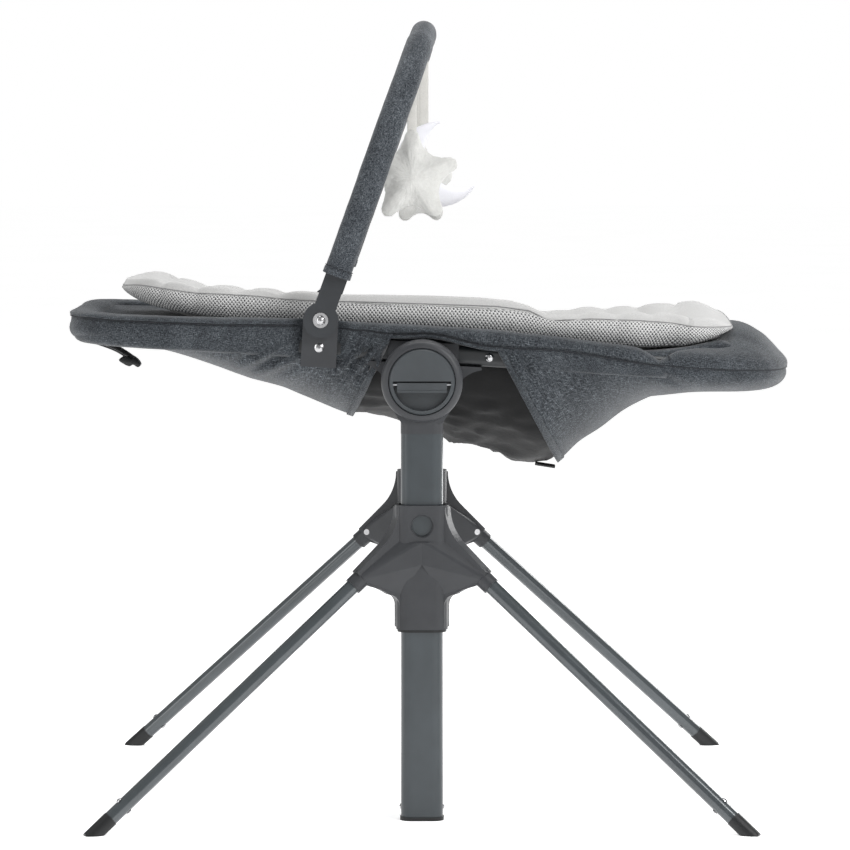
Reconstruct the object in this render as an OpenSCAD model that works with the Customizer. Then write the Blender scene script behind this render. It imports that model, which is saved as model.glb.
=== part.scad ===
// Baby swing: a reclining cradle seat carried between two height-adjustable posts.
// Each post slides through a moulded leg hub with two splayed legs.
// +Z is up, +X points to the baby's feet, -Y is the baby's right. The origin lies on the floor.

/* [Stand] */
// Height of the seat's tilt axis above the floor, lowest setting
hub_height = 471; // [460:1:480]
// Distance between the two posts, centre to centre
post_spacing = 480; // [476:1:490]
// Width of a post along the seat
post_w = 45; // [44:0.5:46]
// Depth of a post across the seat
post_d = 30; // [29:0.5:31]
// How far the posts can be raised
lift_travel = 80; // [60:1:82]
// Height where the leg axes meet the post axis
leg_apex = 322; // [318:1:326]
// Angle of a leg below the horizontal
leg_drop = 41.5; // [40:0.5:43]
// Angle of a leg to the seat's length, seen from above
leg_splay = 18.5; // [16:0.5:20]
// Radius of a leg tube
leg_r = 8; // [7.5:0.1:8.2]

/* [Seat] */
// Angle of the seat frame in its flattest stored position, foot end low
seat_rest_tilt = 3.3; // [0:0.1:5]
// Half the width of the seat frame, at the tube's centre line
frame_half = 190; // [186:1:191]
// Tube centre line to tilt axis, towards the head end
head_reach = 368; // [360:1:385]
// Tube centre line to tilt axis, towards the foot end
foot_reach = 382; // [375:1:400]
// Height of the frame tube above the tilt axis
tube_rise = 27; // [26:0.5:28]

/* [Toy bar] */
// Lean of the toy bar from upright, towards the foot end
bar_lean = 19.8; // [15:0.1:22]
// Height of the arch above its pivot
bar_reach = 327; // [315:1:335]
// Half the width of the arch
bar_half = 212; // [211:0.5:213]

/* [Hidden] */
$fn = 48;

post_y = post_spacing / 2;
// The stand sits off the origin, so that the whole object is centred on it
place_x = -10.1;

// Leg hub
hub_sleeve_w = 55.4;
hub_collar_w = 57.6;
hub_sleeve_d = 42;
hub_sleeve_low = 206;
hub_sleeve_top = 339;
hub_collar_low = 296;
bush_wall = 2;
slide_gap = 0.3;
fit_gap = 0.1;
arm_plate = 18;
socket_r = 9.8;
socket_start = 44;
socket_end = 104;
shoulder_d = 46;
shoulder_low = 276;
shoulder_top = 300;
flank_from = 22;
flank_to = 28.4;
flank_d = 34;
flank_low = 243;
flank_r = 55;
window_r = 11;
window_z = 317;
leg_screw_t = 86;
crossbar_r = 11;
crossbar_z = 262;
crossbar_boss_r = 16;
crossbar_boss_end = 30;
crossbar_seat = 21;

// Legs and feet
leg_wall = 1.2;
leg_tube_end = 460;
foot_r = 8.4;
foot_tip = 373;
rivet_r = 2;
leg_rivet_t = 441;

// Posts
post_corner = 12;
post_wall = 1.8;
post_top = 415;
foot_flange = 4;
foot_plug_top = 26;
post_rivet_z = 14;
button_r = 8;
button_z = window_z - lift_travel;

// Hub, measured outwards from the post's centre plane
ring_r = 43.5;
ring_out = 22;
ring_in = -21;
cap_r = 35.5;
cap_in = 10;
cap_out = 23;
recess_r = 31;
recess_floor = 13;
axle_r = 8;
running_gap = 0.05;
bush_r = 11;
wheel_r = 18;
notch_count = 12;
lever_pin_r = 1.2;
lever_pin_out = 19.5;
lever_pin_z = -3;

// Seat frame
tube_h = 22;
tube_d = 14;
tube_wall = 1.8;
head_corner = 70;
foot_corner = 140;
joint_u = 38;
tongue_u = 88;
rivet_u = 71;
rim_w = 30;
rim_h = 42;
rim_mid = 34.5;
bolster_w = 34;
bolster_h = 66;
bolster_mid = 29;
bracket_u = -112;
bracket_half = 19;
pivot_w = 57;
eye_r = 19;
pivot_r = 4;
arch_corner = 120;
arch_r = 7;
arch_wall = 1.5;
arm_w = 23.5;
arm_d = 8;
arm_top = 84;
sleeve_r = 14.5;
sleeve_low = 50;
star_thick = 24;
ribbon_w = 10;
ribbon_t = 1.2;

// Rounded rectangle, centred
module rounded(w, d, r) {
    square([w - 2 * r, d], center = true);
    square([w, d - 2 * r], center = true);
    for (x = [-1, 1], y = [-1, 1])
        translate([x * (w / 2 - r), y * (d / 2 - r)]) circle(r);
}

// Rod along Z between two heights
module rod(r, low, high) {
    translate([0, 0, low]) cylinder(r = r, h = high - low);
}

// Rod along Y
module rod_y(r, low, high) {
    translate([0, low, 0]) rotate([-90, 0, 0]) cylinder(r = r, h = high - low);
}

// Rod along X
module rod_x(r, low, high) {
    translate([low, 0, 0]) rotate([0, 90, 0]) cylinder(r = r, h = high - low);
}

// Low dome with its flat face at z = 0
module dome(r, h) {
    ball = (r * r + h * h) / (2 * h);
    intersection() {
        translate([0, 0, h - ball]) sphere(ball);
        rod(r + 1, 0, h + 1);
    }
}

// The children on the baby's right, or mirrored to the left
module side(s) {
    if (s == "right") children();
    else mirror([0, 1, 0]) children();
}

module at_post() {
    translate([0, -post_y, 0]) children();
}

// Frame of the right hub: Z points outwards along the tilt axis
module at_hub() {
    translate([0, -post_y, hub_height]) rotate([90, 0, 0]) children();
}

module seat_frame() {
    translate([0, 0, hub_height]) rotate([0, seat_rest_tilt, 0]) children();
}

// Frame of one arm of the right leg hub: X outwards and level, Z up
module arm_frame(end) {
    mirror([end == "rear" ? 1 : 0, 0, 0]) rotate([0, 0, -leg_splay]) children();
}

// Frame of one leg: Z runs down the leg from the apex
module leg_frame(end) {
    arm_frame(end) translate([0, 0, leg_apex]) rotate([0, 90 + leg_drop, 0]) children();
}

// ---------- Leg hubs and legs ----------

function arc(cx, cy, r, from, to, n = 10) =
    [for (i = [0 : n]) let (a = from + (to - from) * i / n) [cx + r * cos(a), cy + r * sin(a)]];

// Point in an arm's plane at distance t along the leg and n above its axis
function leg_point(t, n) = [
    t * cos(leg_drop) + n * sin(leg_drop),
    leg_apex - t * sin(leg_drop) + n * cos(leg_drop)
];

module arm_profile() {
    top = hub_sleeve_top - 2;
    polygon(concat(
        [[0, top]],
        arc(29 + flank_r, top, flank_r, 180, 180 + 46),
        [leg_point(92, socket_r), leg_point(92, -socket_r), [50, 250], [40, 244.5]],
        arc(40, 232, 12, 90, 180, 6),
        [[28, hub_sleeve_low + 2], [0, hub_sleeve_low + 2]]
    ));
}

// Body of an arm: swells out of the sleeve and narrows to the socket
module arm_body(end) {
    hull() {
        mirror([end == "rear" ? 1 : 0, 0, 0]) {
            translate([0, -shoulder_d / 2, shoulder_low])
                cube([6, shoulder_d, shoulder_top - shoulder_low]);
            translate([flank_from, -flank_d / 2, flank_low])
                cube([flank_to - flank_from, flank_d, shoulder_top - flank_low]);
        }
        leg_frame(end) rod(socket_r + 0.8, socket_end - 14, socket_end - 13, $fn = 32);
    }
}

module leg_hub() {
    color("#45484c") at_post() difference() {
        union() {
            translate([0, 0, hub_sleeve_low])
                linear_extrude(hub_sleeve_top - hub_sleeve_low)
                    rounded(hub_sleeve_w, hub_sleeve_d, 14);
            translate([0, 0, hub_collar_low]) linear_extrude(hub_sleeve_top - hub_collar_low)
                rounded(hub_collar_w, hub_sleeve_d, 14);
            for (end = ["front", "rear"]) {
                arm_frame(end) rotate([90, 0, 0])
                    linear_extrude(arm_plate, center = true) arm_profile();
                arm_body(end);
                leg_frame(end) rod(socket_r, socket_start, socket_end);
            }
            translate([0, 0, crossbar_z]) rod_y(crossbar_boss_r, 15, crossbar_boss_end);
        }
        translate([0, 0, hub_sleeve_low - 1])
            linear_extrude(hub_sleeve_top - hub_sleeve_low + 2) bush_outline(fit_gap);
        for (end = ["front", "rear"]) {
            leg_frame(end) rod(leg_r + fit_gap, socket_start + 2, socket_end + 5);
            arm_frame(end) translate([leg_point(leg_screw_t, 0)[0], 0, leg_point(leg_screw_t, 0)[1]]) {
                rod_y(1.6, 4, 20);
                rod_y(3.7, 9.6, 20);
            }
        }
        translate([0, 0, window_z]) {
            rod_y(window_r, -30, -10);
            translate([0, -hub_sleeve_d / 2 - 0.1, 0]) rotate([-90, 0, 0])
                cylinder(r1 = window_r + 1.6, r2 = window_r, h = 1.6);
        }
        translate([0, 0, crossbar_z]) rod_y(crossbar_r + fit_gap, crossbar_seat, 40);
    }
}

module bush_outline(extra) {
    grow = 2 * (slide_gap + bush_wall + extra);
    rounded(post_w + grow, post_d + grow, post_corner + grow / 2);
}

module post_outline(extra) {
    rounded(post_w + 2 * extra, post_d + 2 * extra, post_corner + extra);
}

module guide_bush() {
    lip = 3;
    color("#2c2e31") at_post() difference() {
        union() {
            translate([0, 0, hub_sleeve_low - lip])
                linear_extrude(hub_sleeve_top - hub_sleeve_low + lip - 1) bush_outline(0);
            translate([0, 0, hub_sleeve_low - lip])
                linear_extrude(lip - fit_gap) bush_outline(1.6);
        }
        translate([0, 0, hub_sleeve_low - lip - 1])
            linear_extrude(hub_sleeve_top) post_outline(slide_gap);
        translate([0, 0, window_z]) rod_y(window_r, -30, -10);
    }
}

module leg(end) {
    color("#4a5157") at_post() difference() {
        leg_frame(end) difference() {
            rod(leg_r, socket_start + 3, leg_tube_end);
            rod(leg_r - leg_wall, socket_start, leg_tube_end + 1);
            translate([0, 0, leg_rivet_t]) rod_x(rivet_r + fit_gap, -20, 20);
        }
        arm_frame(end) translate([leg_point(leg_screw_t, 0)[0], 0, leg_point(leg_screw_t, 0)[1]])
            rod_y(1.6, 4, 20);
    }
}

module foot(end) {
    plug_r = leg_r - leg_wall - fit_gap;
    color("#2c2e31") at_post() difference() {
        intersection() {
            leg_frame(end) union() {
                rod(foot_r, leg_tube_end, 520);
                rod(plug_r, leg_tube_end - 34, leg_tube_end + 1);
            }
            arm_frame(end) translate([0, -50, 0]) cube([foot_tip, 100, 100]);
        }
        leg_frame(end) translate([0, 0, leg_rivet_t]) rod_x(rivet_r + fit_gap, -20, 20);
    }
}

module leg_rivet() {
    translate([0, 0, leg_rivet_t]) {
        rod_x(rivet_r, -leg_r - 0.2, leg_r + 0.2);
        for (a = [90, -90])
            rotate([0, a, 0]) translate([0, 0, leg_r + 0.1]) dome(3.6, 1.8);
    }
}

module leg_rivets() {
    color("silver") for (s = ["right", "left"]) side(s) at_post()
        for (end = ["front", "rear"]) leg_frame(end) leg_rivet();
}

module leg_screws() {
    color("silver") for (s = ["right", "left"]) side(s) at_post()
        for (end = ["front", "rear"])
            arm_frame(end) translate([leg_point(leg_screw_t, 0)[0], 0, leg_point(leg_screw_t, 0)[1]]) {
                rod_y(1.5, 5, 9.8);
                rod_y(3.4, 9.7, 11.6);
            }
}

module crossbar() {
    reach = post_y - crossbar_seat - 0.2;
    color("#4a5157") translate([0, 0, crossbar_z]) difference() {
        rod_y(crossbar_r, -reach, reach);
        rod_y(crossbar_r - 1.5, -reach - 1, reach + 1);
    }
}

// ---------- Posts and hubs ----------

module post() {
    color("#4a5157") at_post() difference() {
        translate([0, 0, foot_flange]) linear_extrude(post_top - foot_flange) difference() {
            post_outline(0);
            post_outline(-post_wall);
        }
        translate([0, 0, button_z]) rod_y(button_r + slide_gap, -30, 0);
        translate([0, 0, post_rivet_z]) rod_x(rivet_r + fit_gap, -30, 30);
    }
}

module post_foot() {
    color("#2c2e31") at_post() difference() {
        union() {
            linear_extrude(foot_flange) post_outline(1);
            translate([0, 0, foot_flange - 1])
                linear_extrude(foot_plug_top - foot_flange + 1) post_outline(-post_wall - fit_gap);
        }
        translate([0, 0, post_rivet_z]) rod_x(rivet_r + fit_gap, -30, 30);
    }
}

module post_foot_rivets() {
    color("silver") for (s = ["right", "left"]) side(s) at_post() translate([0, 0, post_rivet_z]) {
        rod_x(rivet_r, -post_w / 2 - 0.2, post_w / 2 + 0.2);
        for (a = [90, -90])
            rotate([0, a, 0]) translate([0, 0, post_w / 2 + 0.1]) dome(3.4, 1.8);
    }
}

module housing_profile() {
    edge = 7;
    polygon(concat(
        [[bush_r + fit_gap, ring_in], [ring_r - 2, ring_in], [ring_r, ring_in + 2]],
        arc(ring_r - edge, ring_out - edge, edge, 0, 90, 8),
        [[cap_r + 0.5, ring_out], [cap_r + 0.5, cap_in - 0.2], [33, cap_in - 0.2]],
        [[33, -13], [bush_r + fit_gap, -13]]
    ));
}

module hub_housing() {
    color("#45484c") {
        at_hub() rotate_extrude($fn = 96) housing_profile();
        at_post() difference() {
            union() {
                translate([0, 0, post_top]) linear_extrude(hub_height - 34 - post_top)
                    post_outline(0.2);
                translate([0, 0, post_top - 30]) linear_extrude(31)
                    post_outline(-post_wall - fit_gap);
                translate([0, post_d / 2, 0]) rotate([90, 0, 0]) linear_extrude(post_d)
                    polygon([
                        [-22, post_top + 12], [-31, hub_height - 30.5],
                        [31, hub_height - 30.5], [22, post_top + 12]
                    ]);
            }
            translate([0, 0, hub_height]) rod_y(ring_r - 5, -30, 30);
        }
    }
}

module recess_outline(extra) {
    intersection() {
        circle(recess_r + extra, $fn = 96);
        translate([-50, -100 + 0.6]) square([100, 100]);
    }
}

module hub_cap() {
    color("#51575c") at_hub() difference() {
        union() {
            rod(cap_r - 0.2, cap_in, cap_out - 2, $fn = 96);
            translate([0, 0, cap_out - 2]) cylinder(r1 = cap_r - 0.2, r2 = cap_r - 2, h = 2, $fn = 96);
        }
        translate([0, 0, recess_floor]) linear_extrude(20) recess_outline(0);
        translate([0, lever_pin_z, lever_pin_out]) rod_x(lever_pin_r + fit_gap, -33, 33);
    }
}

module lever_pins() {
    color("silver") for (s = ["right", "left"]) side(s) at_hub()
        translate([0, lever_pin_z, lever_pin_out]) rod_x(lever_pin_r, -32.5, 32.5);
}

module release_lever() {
    half = 26.5;
    color("#51575c") at_hub() difference() {
        union() {
            translate([-half, -11.5, 17]) cube([2 * half, 10.3, 5]);
            translate([-half, -11.5, 21.5]) cube([2 * half, 2, 1.3]);
        }
        translate([0, lever_pin_z, lever_pin_out]) rod_x(lever_pin_r + running_gap, -40, 40);
    }
}

module hub_bushes() {
    color("#d8d8d4") for (s = ["right", "left"]) side(s) at_hub() difference() {
        union() {
            rod(bush_r, ring_in - 0.5, -11);
            rod(bush_r + 3, -12.9, -11);
        }
        rod(axle_r + running_gap, ring_in - 2, 0);
    }
}

module lock_bolt() {
    color("silver") at_hub() {
        translate([-2.2, -21, -7.5]) cube([4.4, 2.4, 5]);
        translate([-6, -29, -8]) cube([12, 8.2, 12]);
    }
}

module tilt_axle() {
    color("silver") at_hub() rotate([0, 0, -seat_rest_tilt]) {
        difference() {
            rod(axle_r, -42.8, 4);
            rod(3, -9, 5);
        }
        difference() {
            rod(wheel_r, -8, -2);
            rod(axle_r - 1, -10, 0);
            for (i = [0 : notch_count - 1]) rotate([0, 0, i * 360 / notch_count])
                translate([wheel_r - 3, -2.6, -9]) cube([5, 5.2, 8]);
        }
    }
}

module axle_screws() {
    color("silver") for (s = ["right", "left"]) side(s) at_hub() {
        rod(2.9, -8, 4.2);
        rod(11, 4.05, 5.6);
        rod(5.5, 5.5, 8.6);
    }
}

module height_button() {
    color("#2c2e31") at_post() translate([0, 0, button_z]) {
        rod_y(button_r, -post_d / 2 + 0.2, -post_d / 2 + 5);
        rod_y(button_r - 3, -post_d / 2 + 4.9, -2);
    }
}

// ---------- Seat frame ----------

module tube_outline(extra) {
    straight = tube_h - tube_d;
    square([tube_d + 2 * extra, straight], center = true);
    for (s = [-1, 1]) translate([0, s * straight / 2]) circle(tube_d / 2 + extra);
}

// Runs a profile, drawn as [across, up], along both straight sides of the frame
module side_run(from, to) {
    for (s = [-1, 1]) translate([from, s * frame_half, 0]) rotate([90, 0, 90])
        linear_extrude(to - from) children();
}

// Runs it round the curved head or foot end
module end_run(reach, corner) {
    cross = frame_half - corner;
    for (s = [0, 1]) mirror([0, s, 0]) translate([reach - corner, cross, 0])
        rotate_extrude(angle = 90, $fn = 96) translate([corner, 0]) children();
    translate([reach, cross, 0]) rotate([90, 0, 0]) linear_extrude(2 * cross) children();
}

module frame_run(reach, corner, from) {
    side_run(from, reach - corner) children();
    end_run(reach, corner) children();
}

module tube_run(reach, corner) {
    translate([0, 0, tube_rise]) difference() {
        frame_run(reach, corner, joint_u) tube_outline(0);
        frame_run(reach, corner, joint_u) tube_outline(-tube_wall);
        for (s = [-1, 1]) translate([rivet_u, s * frame_half, 0]) rod_y(2.6, -20, 20);
        translate([-bracket_u, 0, 0]) rod_y(2.6, -frame_half - 20, frame_half + 20);
    }
}

module seat_tube_rear() {
    color("#3a3e42") seat_frame() mirror([1, 0, 0]) tube_run(head_reach, head_corner);
}

module seat_tube_front() {
    color("#3a3e42") seat_frame() translate([0, 0, tube_rise]) difference() {
        frame_run(foot_reach, foot_corner, joint_u) tube_outline(0);
        frame_run(foot_reach, foot_corner, joint_u) tube_outline(-tube_wall);
        for (s = [-1, 1]) translate([rivet_u, s * frame_half, 0]) rod_y(2.6, -20, 20);
    }
}

module carrier_profile() {
    web = tube_rise - tube_h / 2 - 0.5;
    for (m = [0, 1]) mirror([m, 0]) polygon(concat(
        [[0, web], [63, web]],
        arc(70, -23, 36, 100, 165, 8),
        [[0, -20]]
    ));
    circle(34);
    translate([-joint_u + 0.3, 0]) square([2 * joint_u - 0.6, tube_rise + tube_h / 2 + 1]);
}

module carrier() {
    plate_in = frame_half - tube_d / 2;
    color("#45484c") seat_frame() difference() {
        union() {
            translate([0, -plate_in, 0]) rotate([90, 0, 0]) linear_extrude(tube_d) carrier_profile();
            rod_y(30, -post_y + 23.5, -plate_in - tube_d + 0.5);
            for (a = [90, -90]) translate([0, -frame_half, tube_rise]) rotate([0, 0, a + 90])
                rotate([90, 0, 90]) translate([0, 0, joint_u - 2])
                    linear_extrude(tongue_u - joint_u) tube_outline(-tube_wall - 0.2);
        }
        rod_y(axle_r + fit_gap, -post_y, -plate_in - tube_d - 0.2);
        for (u = [-rivet_u, rivet_u])
            translate([u, -frame_half, tube_rise]) rod_y(2.6, -20, 20);
    }
}

module carrier_rivets() {
    color("silver") seat_frame() for (s = ["right", "left"]) side(s)
        for (u = [-rivet_u, rivet_u]) translate([u, -frame_half, tube_rise]) {
            rod_y(2.5, -tube_d / 2 - 0.2, tube_d / 2 + 0.2);
            translate([0, -tube_d / 2 - 0.1, 0]) rotate([90, 0, 0]) dome(4.8, 2.4);
            translate([0, tube_d / 2 + 0.1, 0]) rotate([-90, 0, 0]) dome(4, 1.2);
        }
}

// ---------- Toy bar and its brackets ----------

module toy_bracket() {
    tube_out = frame_half + tube_d / 2;
    color("#45484c") seat_frame() translate([bracket_u, 0, 0]) difference() {
        union() {
            translate([-bracket_half, -tube_out - 7, 6]) cube([2 * bracket_half, 6.8, 51]);
            translate([-bracket_half, -tube_out - 7, 6]) cube([2 * bracket_half, 20.5, 9.7]);
            translate([-bracket_half, -tube_out - 7, 38.3]) cube([2 * bracket_half, 18, 4]);
            translate([0, 0, pivot_w]) rod_y(eye_r - 2, -tube_out - 7, -tube_out - 0.2);
        }
        translate([0, 0, pivot_w]) rod_y(pivot_r + fit_gap, -tube_out - 20, -150);
        translate([0, 0, tube_rise]) rod_y(2.6, -tube_out - 20, -150);
    }
}

module bracket_rivets() {
    tube_out = frame_half + tube_d / 2;
    color("silver") seat_frame() for (s = ["right", "left"]) side(s)
        translate([bracket_u, 0, tube_rise]) {
            rod_y(2.5, -tube_out - 7.1, -tube_out + tube_d + 0.2);
            translate([0, -tube_out - 7.05, 0]) rotate([90, 0, 0]) dome(5, 2);
            translate([0, -tube_out + tube_d + 0.1, 0]) rotate([-90, 0, 0]) dome(4, 1.2);
        }
}

module pivot_bolts() {
    tube_out = frame_half + tube_d / 2;
    color("silver") seat_frame() for (s = ["right", "left"]) side(s)
        translate([bracket_u, 0, pivot_w]) {
            rod_y(pivot_r, -bar_half - 5, -tube_out + 2);
            rod_y(8, -tube_out - 0.1, -tube_out + 4);
            translate([0, -bar_half - 4.4, 0]) {
                rod_y(8.2, -1, 0);
                translate([0, -0.9, 0]) rotate([90, 0, 0]) dome(5.5, 3.4);
            }
        }
}

// Frame of the toy bar: Z runs up the arch from its pivot
module bar_frame() {
    seat_frame() translate([bracket_u, 0, pivot_w])
        rotate([0, bar_lean - seat_rest_tilt, 0]) children();
}

// Flat arm with a round eye at the pivot and a spigot that holds the arch tube
module toy_bar_arms() {
    color("#3a3e42") bar_frame() for (s = ["right", "left"]) side(s) difference() {
        union() {
            rod_y(eye_r, -bar_half - 4, -bar_half + 7.5);
            translate([-arm_w / 2, -bar_half - arm_d / 2, 0]) cube([arm_w, arm_d, arm_top]);
            translate([0, -bar_half, 0]) rod(arch_r - arch_wall - 0.1, arm_top - 1, arm_top + 30);
        }
        rod_y(pivot_r + running_gap, -bar_half - 10, -bar_half + 20);
    }
}

// Runs a round profile along the arch from a start height
module arch_run(r, from) {
    level = bar_reach - arch_corner;
    cross = bar_half - arch_corner;
    for (s = [-1, 1]) {
        translate([0, s * bar_half, 0]) rod(r, from, level);
        mirror([0, s < 0 ? 1 : 0, 0]) translate([0, cross, level])
            rotate([0, 0, 90]) rotate([90, 0, 0])
                rotate_extrude(angle = 90, $fn = 96) translate([arch_corner, 0]) circle(r);
    }
    translate([0, 0, bar_reach]) rod_y(r, -cross, cross);
}

module toy_bar_tube() {
    color("silver") bar_frame() difference() {
        arch_run(arch_r, arm_top + 0.1);
        arch_run(arch_r - arch_wall, arm_top);
    }
}

module toy_bar_sleeve() {
    color("#4b535c") bar_frame() difference() {
        arch_run(sleeve_r, sleeve_low);
        arch_run(arch_r + 0.2, sleeve_low - 10);
        for (s = [-1, 1])
            translate([-arm_w / 2 - 0.3, s * bar_half - arm_d / 2 - 0.3, sleeve_low - 10])
                cube([arm_w + 0.6, arm_d + 0.6, arm_top - sleeve_low + 10.3]);
    }
}

// ---------- Toys: each hangs from the arch by a ribbon ----------

function arch_height(v) = bar_reach - arch_corner
    + sqrt(pow(arch_corner, 2) - pow(max(0, abs(v) - bar_half + arch_corner), 2));

// Distance from the arch's centre line straight down to where a ribbon starts at v
function ribbon_start(v) =
    let (bend = asin(max(0, abs(v) - bar_half + arch_corner) / arch_corner))
    (sleeve_r + 1) / cos(bend) + 1.2 + 1.8 * bend / 45;

// Frame of a toy: origin on the arch's centre line, level with the floor
module toy_frame(v) {
    bar_frame() translate([0, v, arch_height(v)]) rotate([0, -bar_lean, 0]) children();
}

function star_points(r, inner) =
    [for (i = [0 : 9]) let (q = i % 2 == 0 ? r : inner, a = 90 + i * 36) [q * cos(a), q * sin(a)]];

module star(r, thick) {
    rotate([90, 0, 0]) linear_extrude(thick, center = true) intersection() {
        offset(r = 5, $fn = 24) offset(delta = -5) polygon(star_points(r + 8, r * 0.52));
        circle(r);
    }
}

// Ribbon from the sleeve down to a toy: it swings about the middle of its round top
module ribbon(v, low) {
    hang = ribbon_start(v) + ribbon_w / 2;
    translate([-ribbon_w / 2, -ribbon_t / 2, -low]) cube([ribbon_w, ribbon_t, low - hang]);
    translate([0, 0, -hang]) rotate([90, 0, 0])
        cylinder(d = ribbon_w, h = ribbon_t, center = true, $fn = 32);
}

module toy_star(v, drop, r, yaw, shift) {
    color("#dededb") toy_frame(v) {
        ribbon(v, drop - r + 5);
        translate([shift, 0, -drop]) rotate([0, 0, yaw]) star(r, star_thick);
    }
}

module toy_moon() {
    moon_r = 47.7;
    color("#f4f4f8") toy_frame(0) {
        ribbon(0, 100);
        translate([16, 0, -143.7]) rotate([90, 0, 0])
            linear_extrude(star_thick, center = true) difference() {
                circle(moon_r, $fn = 72);
                rotate(28) translate([29, 0]) circle(41, $fn = 72);
            }
    }
}

// ---------- Soft parts ----------

function slope(p, i) =
    let (a = max(0, i - 1), b = min(len(p) - 1, i + 1)) (p[b][1] - p[a][1]) / (p[b][0] - p[a][0]);

// Smooth curve through the control points p
function curve(x, p, i = 0) =
    x <= p[0][0] ? p[0][1] :
    i >= len(p) - 1 ? p[len(p) - 1][1] :
    x > p[i + 1][0] ? curve(x, p, i + 1) :
    let (h = p[i + 1][0] - p[i][0], t = (x - p[i][0]) / h)
        (1 + 2 * t) * pow(1 - t, 2) * p[i][1] + t * pow(1 - t, 2) * h * slope(p, i) +
        t * t * (3 - 2 * t) * p[i + 1][1] + t * t * (t - 1) * h * slope(p, i + 1);

// Half the width at u of a line that runs round the frame, offset outwards from its tube
function ring_half(u, head_offset, foot_offset) =
    let (head_u = head_corner - head_reach, foot_u = foot_reach - foot_corner)
    u < head_u ?
        frame_half - head_corner
            + sqrt(max(0, pow(head_corner + head_offset, 2) - pow(head_u - u, 2))) :
    u > foot_u ?
        frame_half - foot_corner
            + sqrt(max(0, pow(foot_corner + foot_offset, 2) - pow(u - foot_u, 2))) :
        frame_half + head_offset;
function rim_outer(u) = ring_half(u, rim_w / 2, rim_w / 2);
function rim_inner(u) = ring_half(u, -rim_w / 2 - 1.5, -bolster_w / 2 - 1.5);
function rim_under(u) =
    u > foot_reach - foot_corner - 20 ? bolster_mid - bolster_h / 2 - 0.5 : rim_mid - rim_h / 2 - 0.5;

// Underside of the seat along its centre line, above the tilt axis
belly_line = [
    [-379, 12], [-300, 4], [-214, -13], [-132, -36], [-72, -57], [31, -79], [105, -100],
    [145, -104], [174, -80], [217, -43], [260, -14], [300, -6], [384, -4]
];
function belly(u) = curve(u, belly_line);

// The insert's raised edge, and how far its middle sinks below that edge
insert_edge = [
    [-334, 76], [-312, 85], [-200, 81], [-25, 78], [87, 80], [155, 71], [240, 78], [300, 86], [338, 76]
];
insert_sag = [
    [-334, 4], [-250, 16], [-100, 50], [60, 88], [110, 92], [160, 80], [240, 40], [300, 12], [338, 3]
];
insert_from = -332;
insert_to = 324;
insert_thick = 28;

function insert_half(u) =
    let (s = (u - 2) / 342) max(40, 165 * pow(max(0, 1 - pow(abs(s), 6)), 0.4));
function insert_top(u, v) =
    let (q = min(1, abs(v) / insert_half(u)))
    curve(u, insert_edge) - curve(u, insert_sag) * pow(1 - q * q, 1.3) - 6 * pow(q, 8);
function insert_low(u, v) = insert_top(u, v) - insert_thick - 4 * pow(min(1, abs(v) / 165), 2);

// Closed solid between two grids of points, rows along +X and columns along +Y
module slab(top, low) {
    n = len(top);
    m = len(top[0]);
    flat = [for (g = [top, low]) for (row = g) for (p = row) p];
    function id(g, i, j) = g * n * m + i * m + j;
    function quad(a, b, c, d) = [[a, b, c], [a, c, d]];
    faces = [
        for (i = [0 : n - 2], j = [0 : m - 2]) each concat(
            quad(id(0, i, j), id(0, i, j + 1), id(0, i + 1, j + 1), id(0, i + 1, j)),
            quad(id(1, i, j), id(1, i + 1, j), id(1, i + 1, j + 1), id(1, i, j + 1))
        ),
        for (i = [0 : n - 2]) each concat(
            quad(id(0, i, 0), id(0, i + 1, 0), id(1, i + 1, 0), id(1, i, 0)),
            quad(id(0, i, m - 1), id(1, i, m - 1), id(1, i + 1, m - 1), id(0, i + 1, m - 1))
        ),
        for (j = [0 : m - 2]) each concat(
            quad(id(0, 0, j + 1), id(0, 0, j), id(1, 0, j), id(1, 0, j + 1)),
            quad(id(0, n - 1, j), id(0, n - 1, j + 1), id(1, n - 1, j + 1), id(1, n - 1, j))
        )
    ];
    polyhedron(flat, faces);
}

// Point on a U-shaped section at u: a runs from 0 at one side to 180 at the other
function hammock(u, a, half, top, bottom) =
    [u, -half * cos(a), top - (top - bottom) * pow(max(0, sin(a)), 0.8)];

module cover(from_top, from_low, to_top, to_low) {
    rows = 14;
    columns = 18;
    skin = 3;
    function at(i, a) = let (
        s = sin(a),
        start = from_top + (from_low - from_top) * s,
        end = to_top + (to_low - to_top) * s
    ) start + (end - start) * i / rows;
    function grid(inset) = [for (i = [0 : rows]) [for (j = [0 : columns])
        let (a = 180 * j / columns, u = at(i, a), top = rim_under(u))
            hammock(u, a, rim_outer(u) - inset, top, min(top - 5, belly(u)) + inset)]];
    slab(grid(skin), grid(0));
}

module cover_rear() {
    color("#474e57") seat_frame() difference() {
        cover(-300, -300, -66, -78);
        bracket_notches();
    }
}

module cover_front() {
    color("#474e57") seat_frame() cover(80, 138, foot_reach - 2, foot_reach - 2);
}

module sling() {
    rows = 18;
    columns = 16;
    from = 26 - head_reach;
    to = foot_reach - 94;
    function at(i) = from + (to - from) * i / rows;
    low = [for (i = [0 : rows]) let (u = at(i)) [for (j = [0 : columns])
        hammock(u, 180 * j / columns, rim_inner(u), 38, belly(u) + 6)]];
    top = [for (i = [0 : rows]) let (u = at(i)) [for (j = [0 : columns])
        let (v = low[i][j][1]) [u, v, max(low[i][j][2] + 3, insert_low(u, v) - 7)]]];
    color("#1e2022") seat_frame() slab(top, low);
}

// Room for the toy bar's brackets
module bracket_notches() {
    for (s = [0, 1]) mirror([0, s, 0])
        translate([bracket_u - bracket_half - 1.5, 176, 0])
            cube([2 * bracket_half + 3, frame_half, 90]);
}

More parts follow.
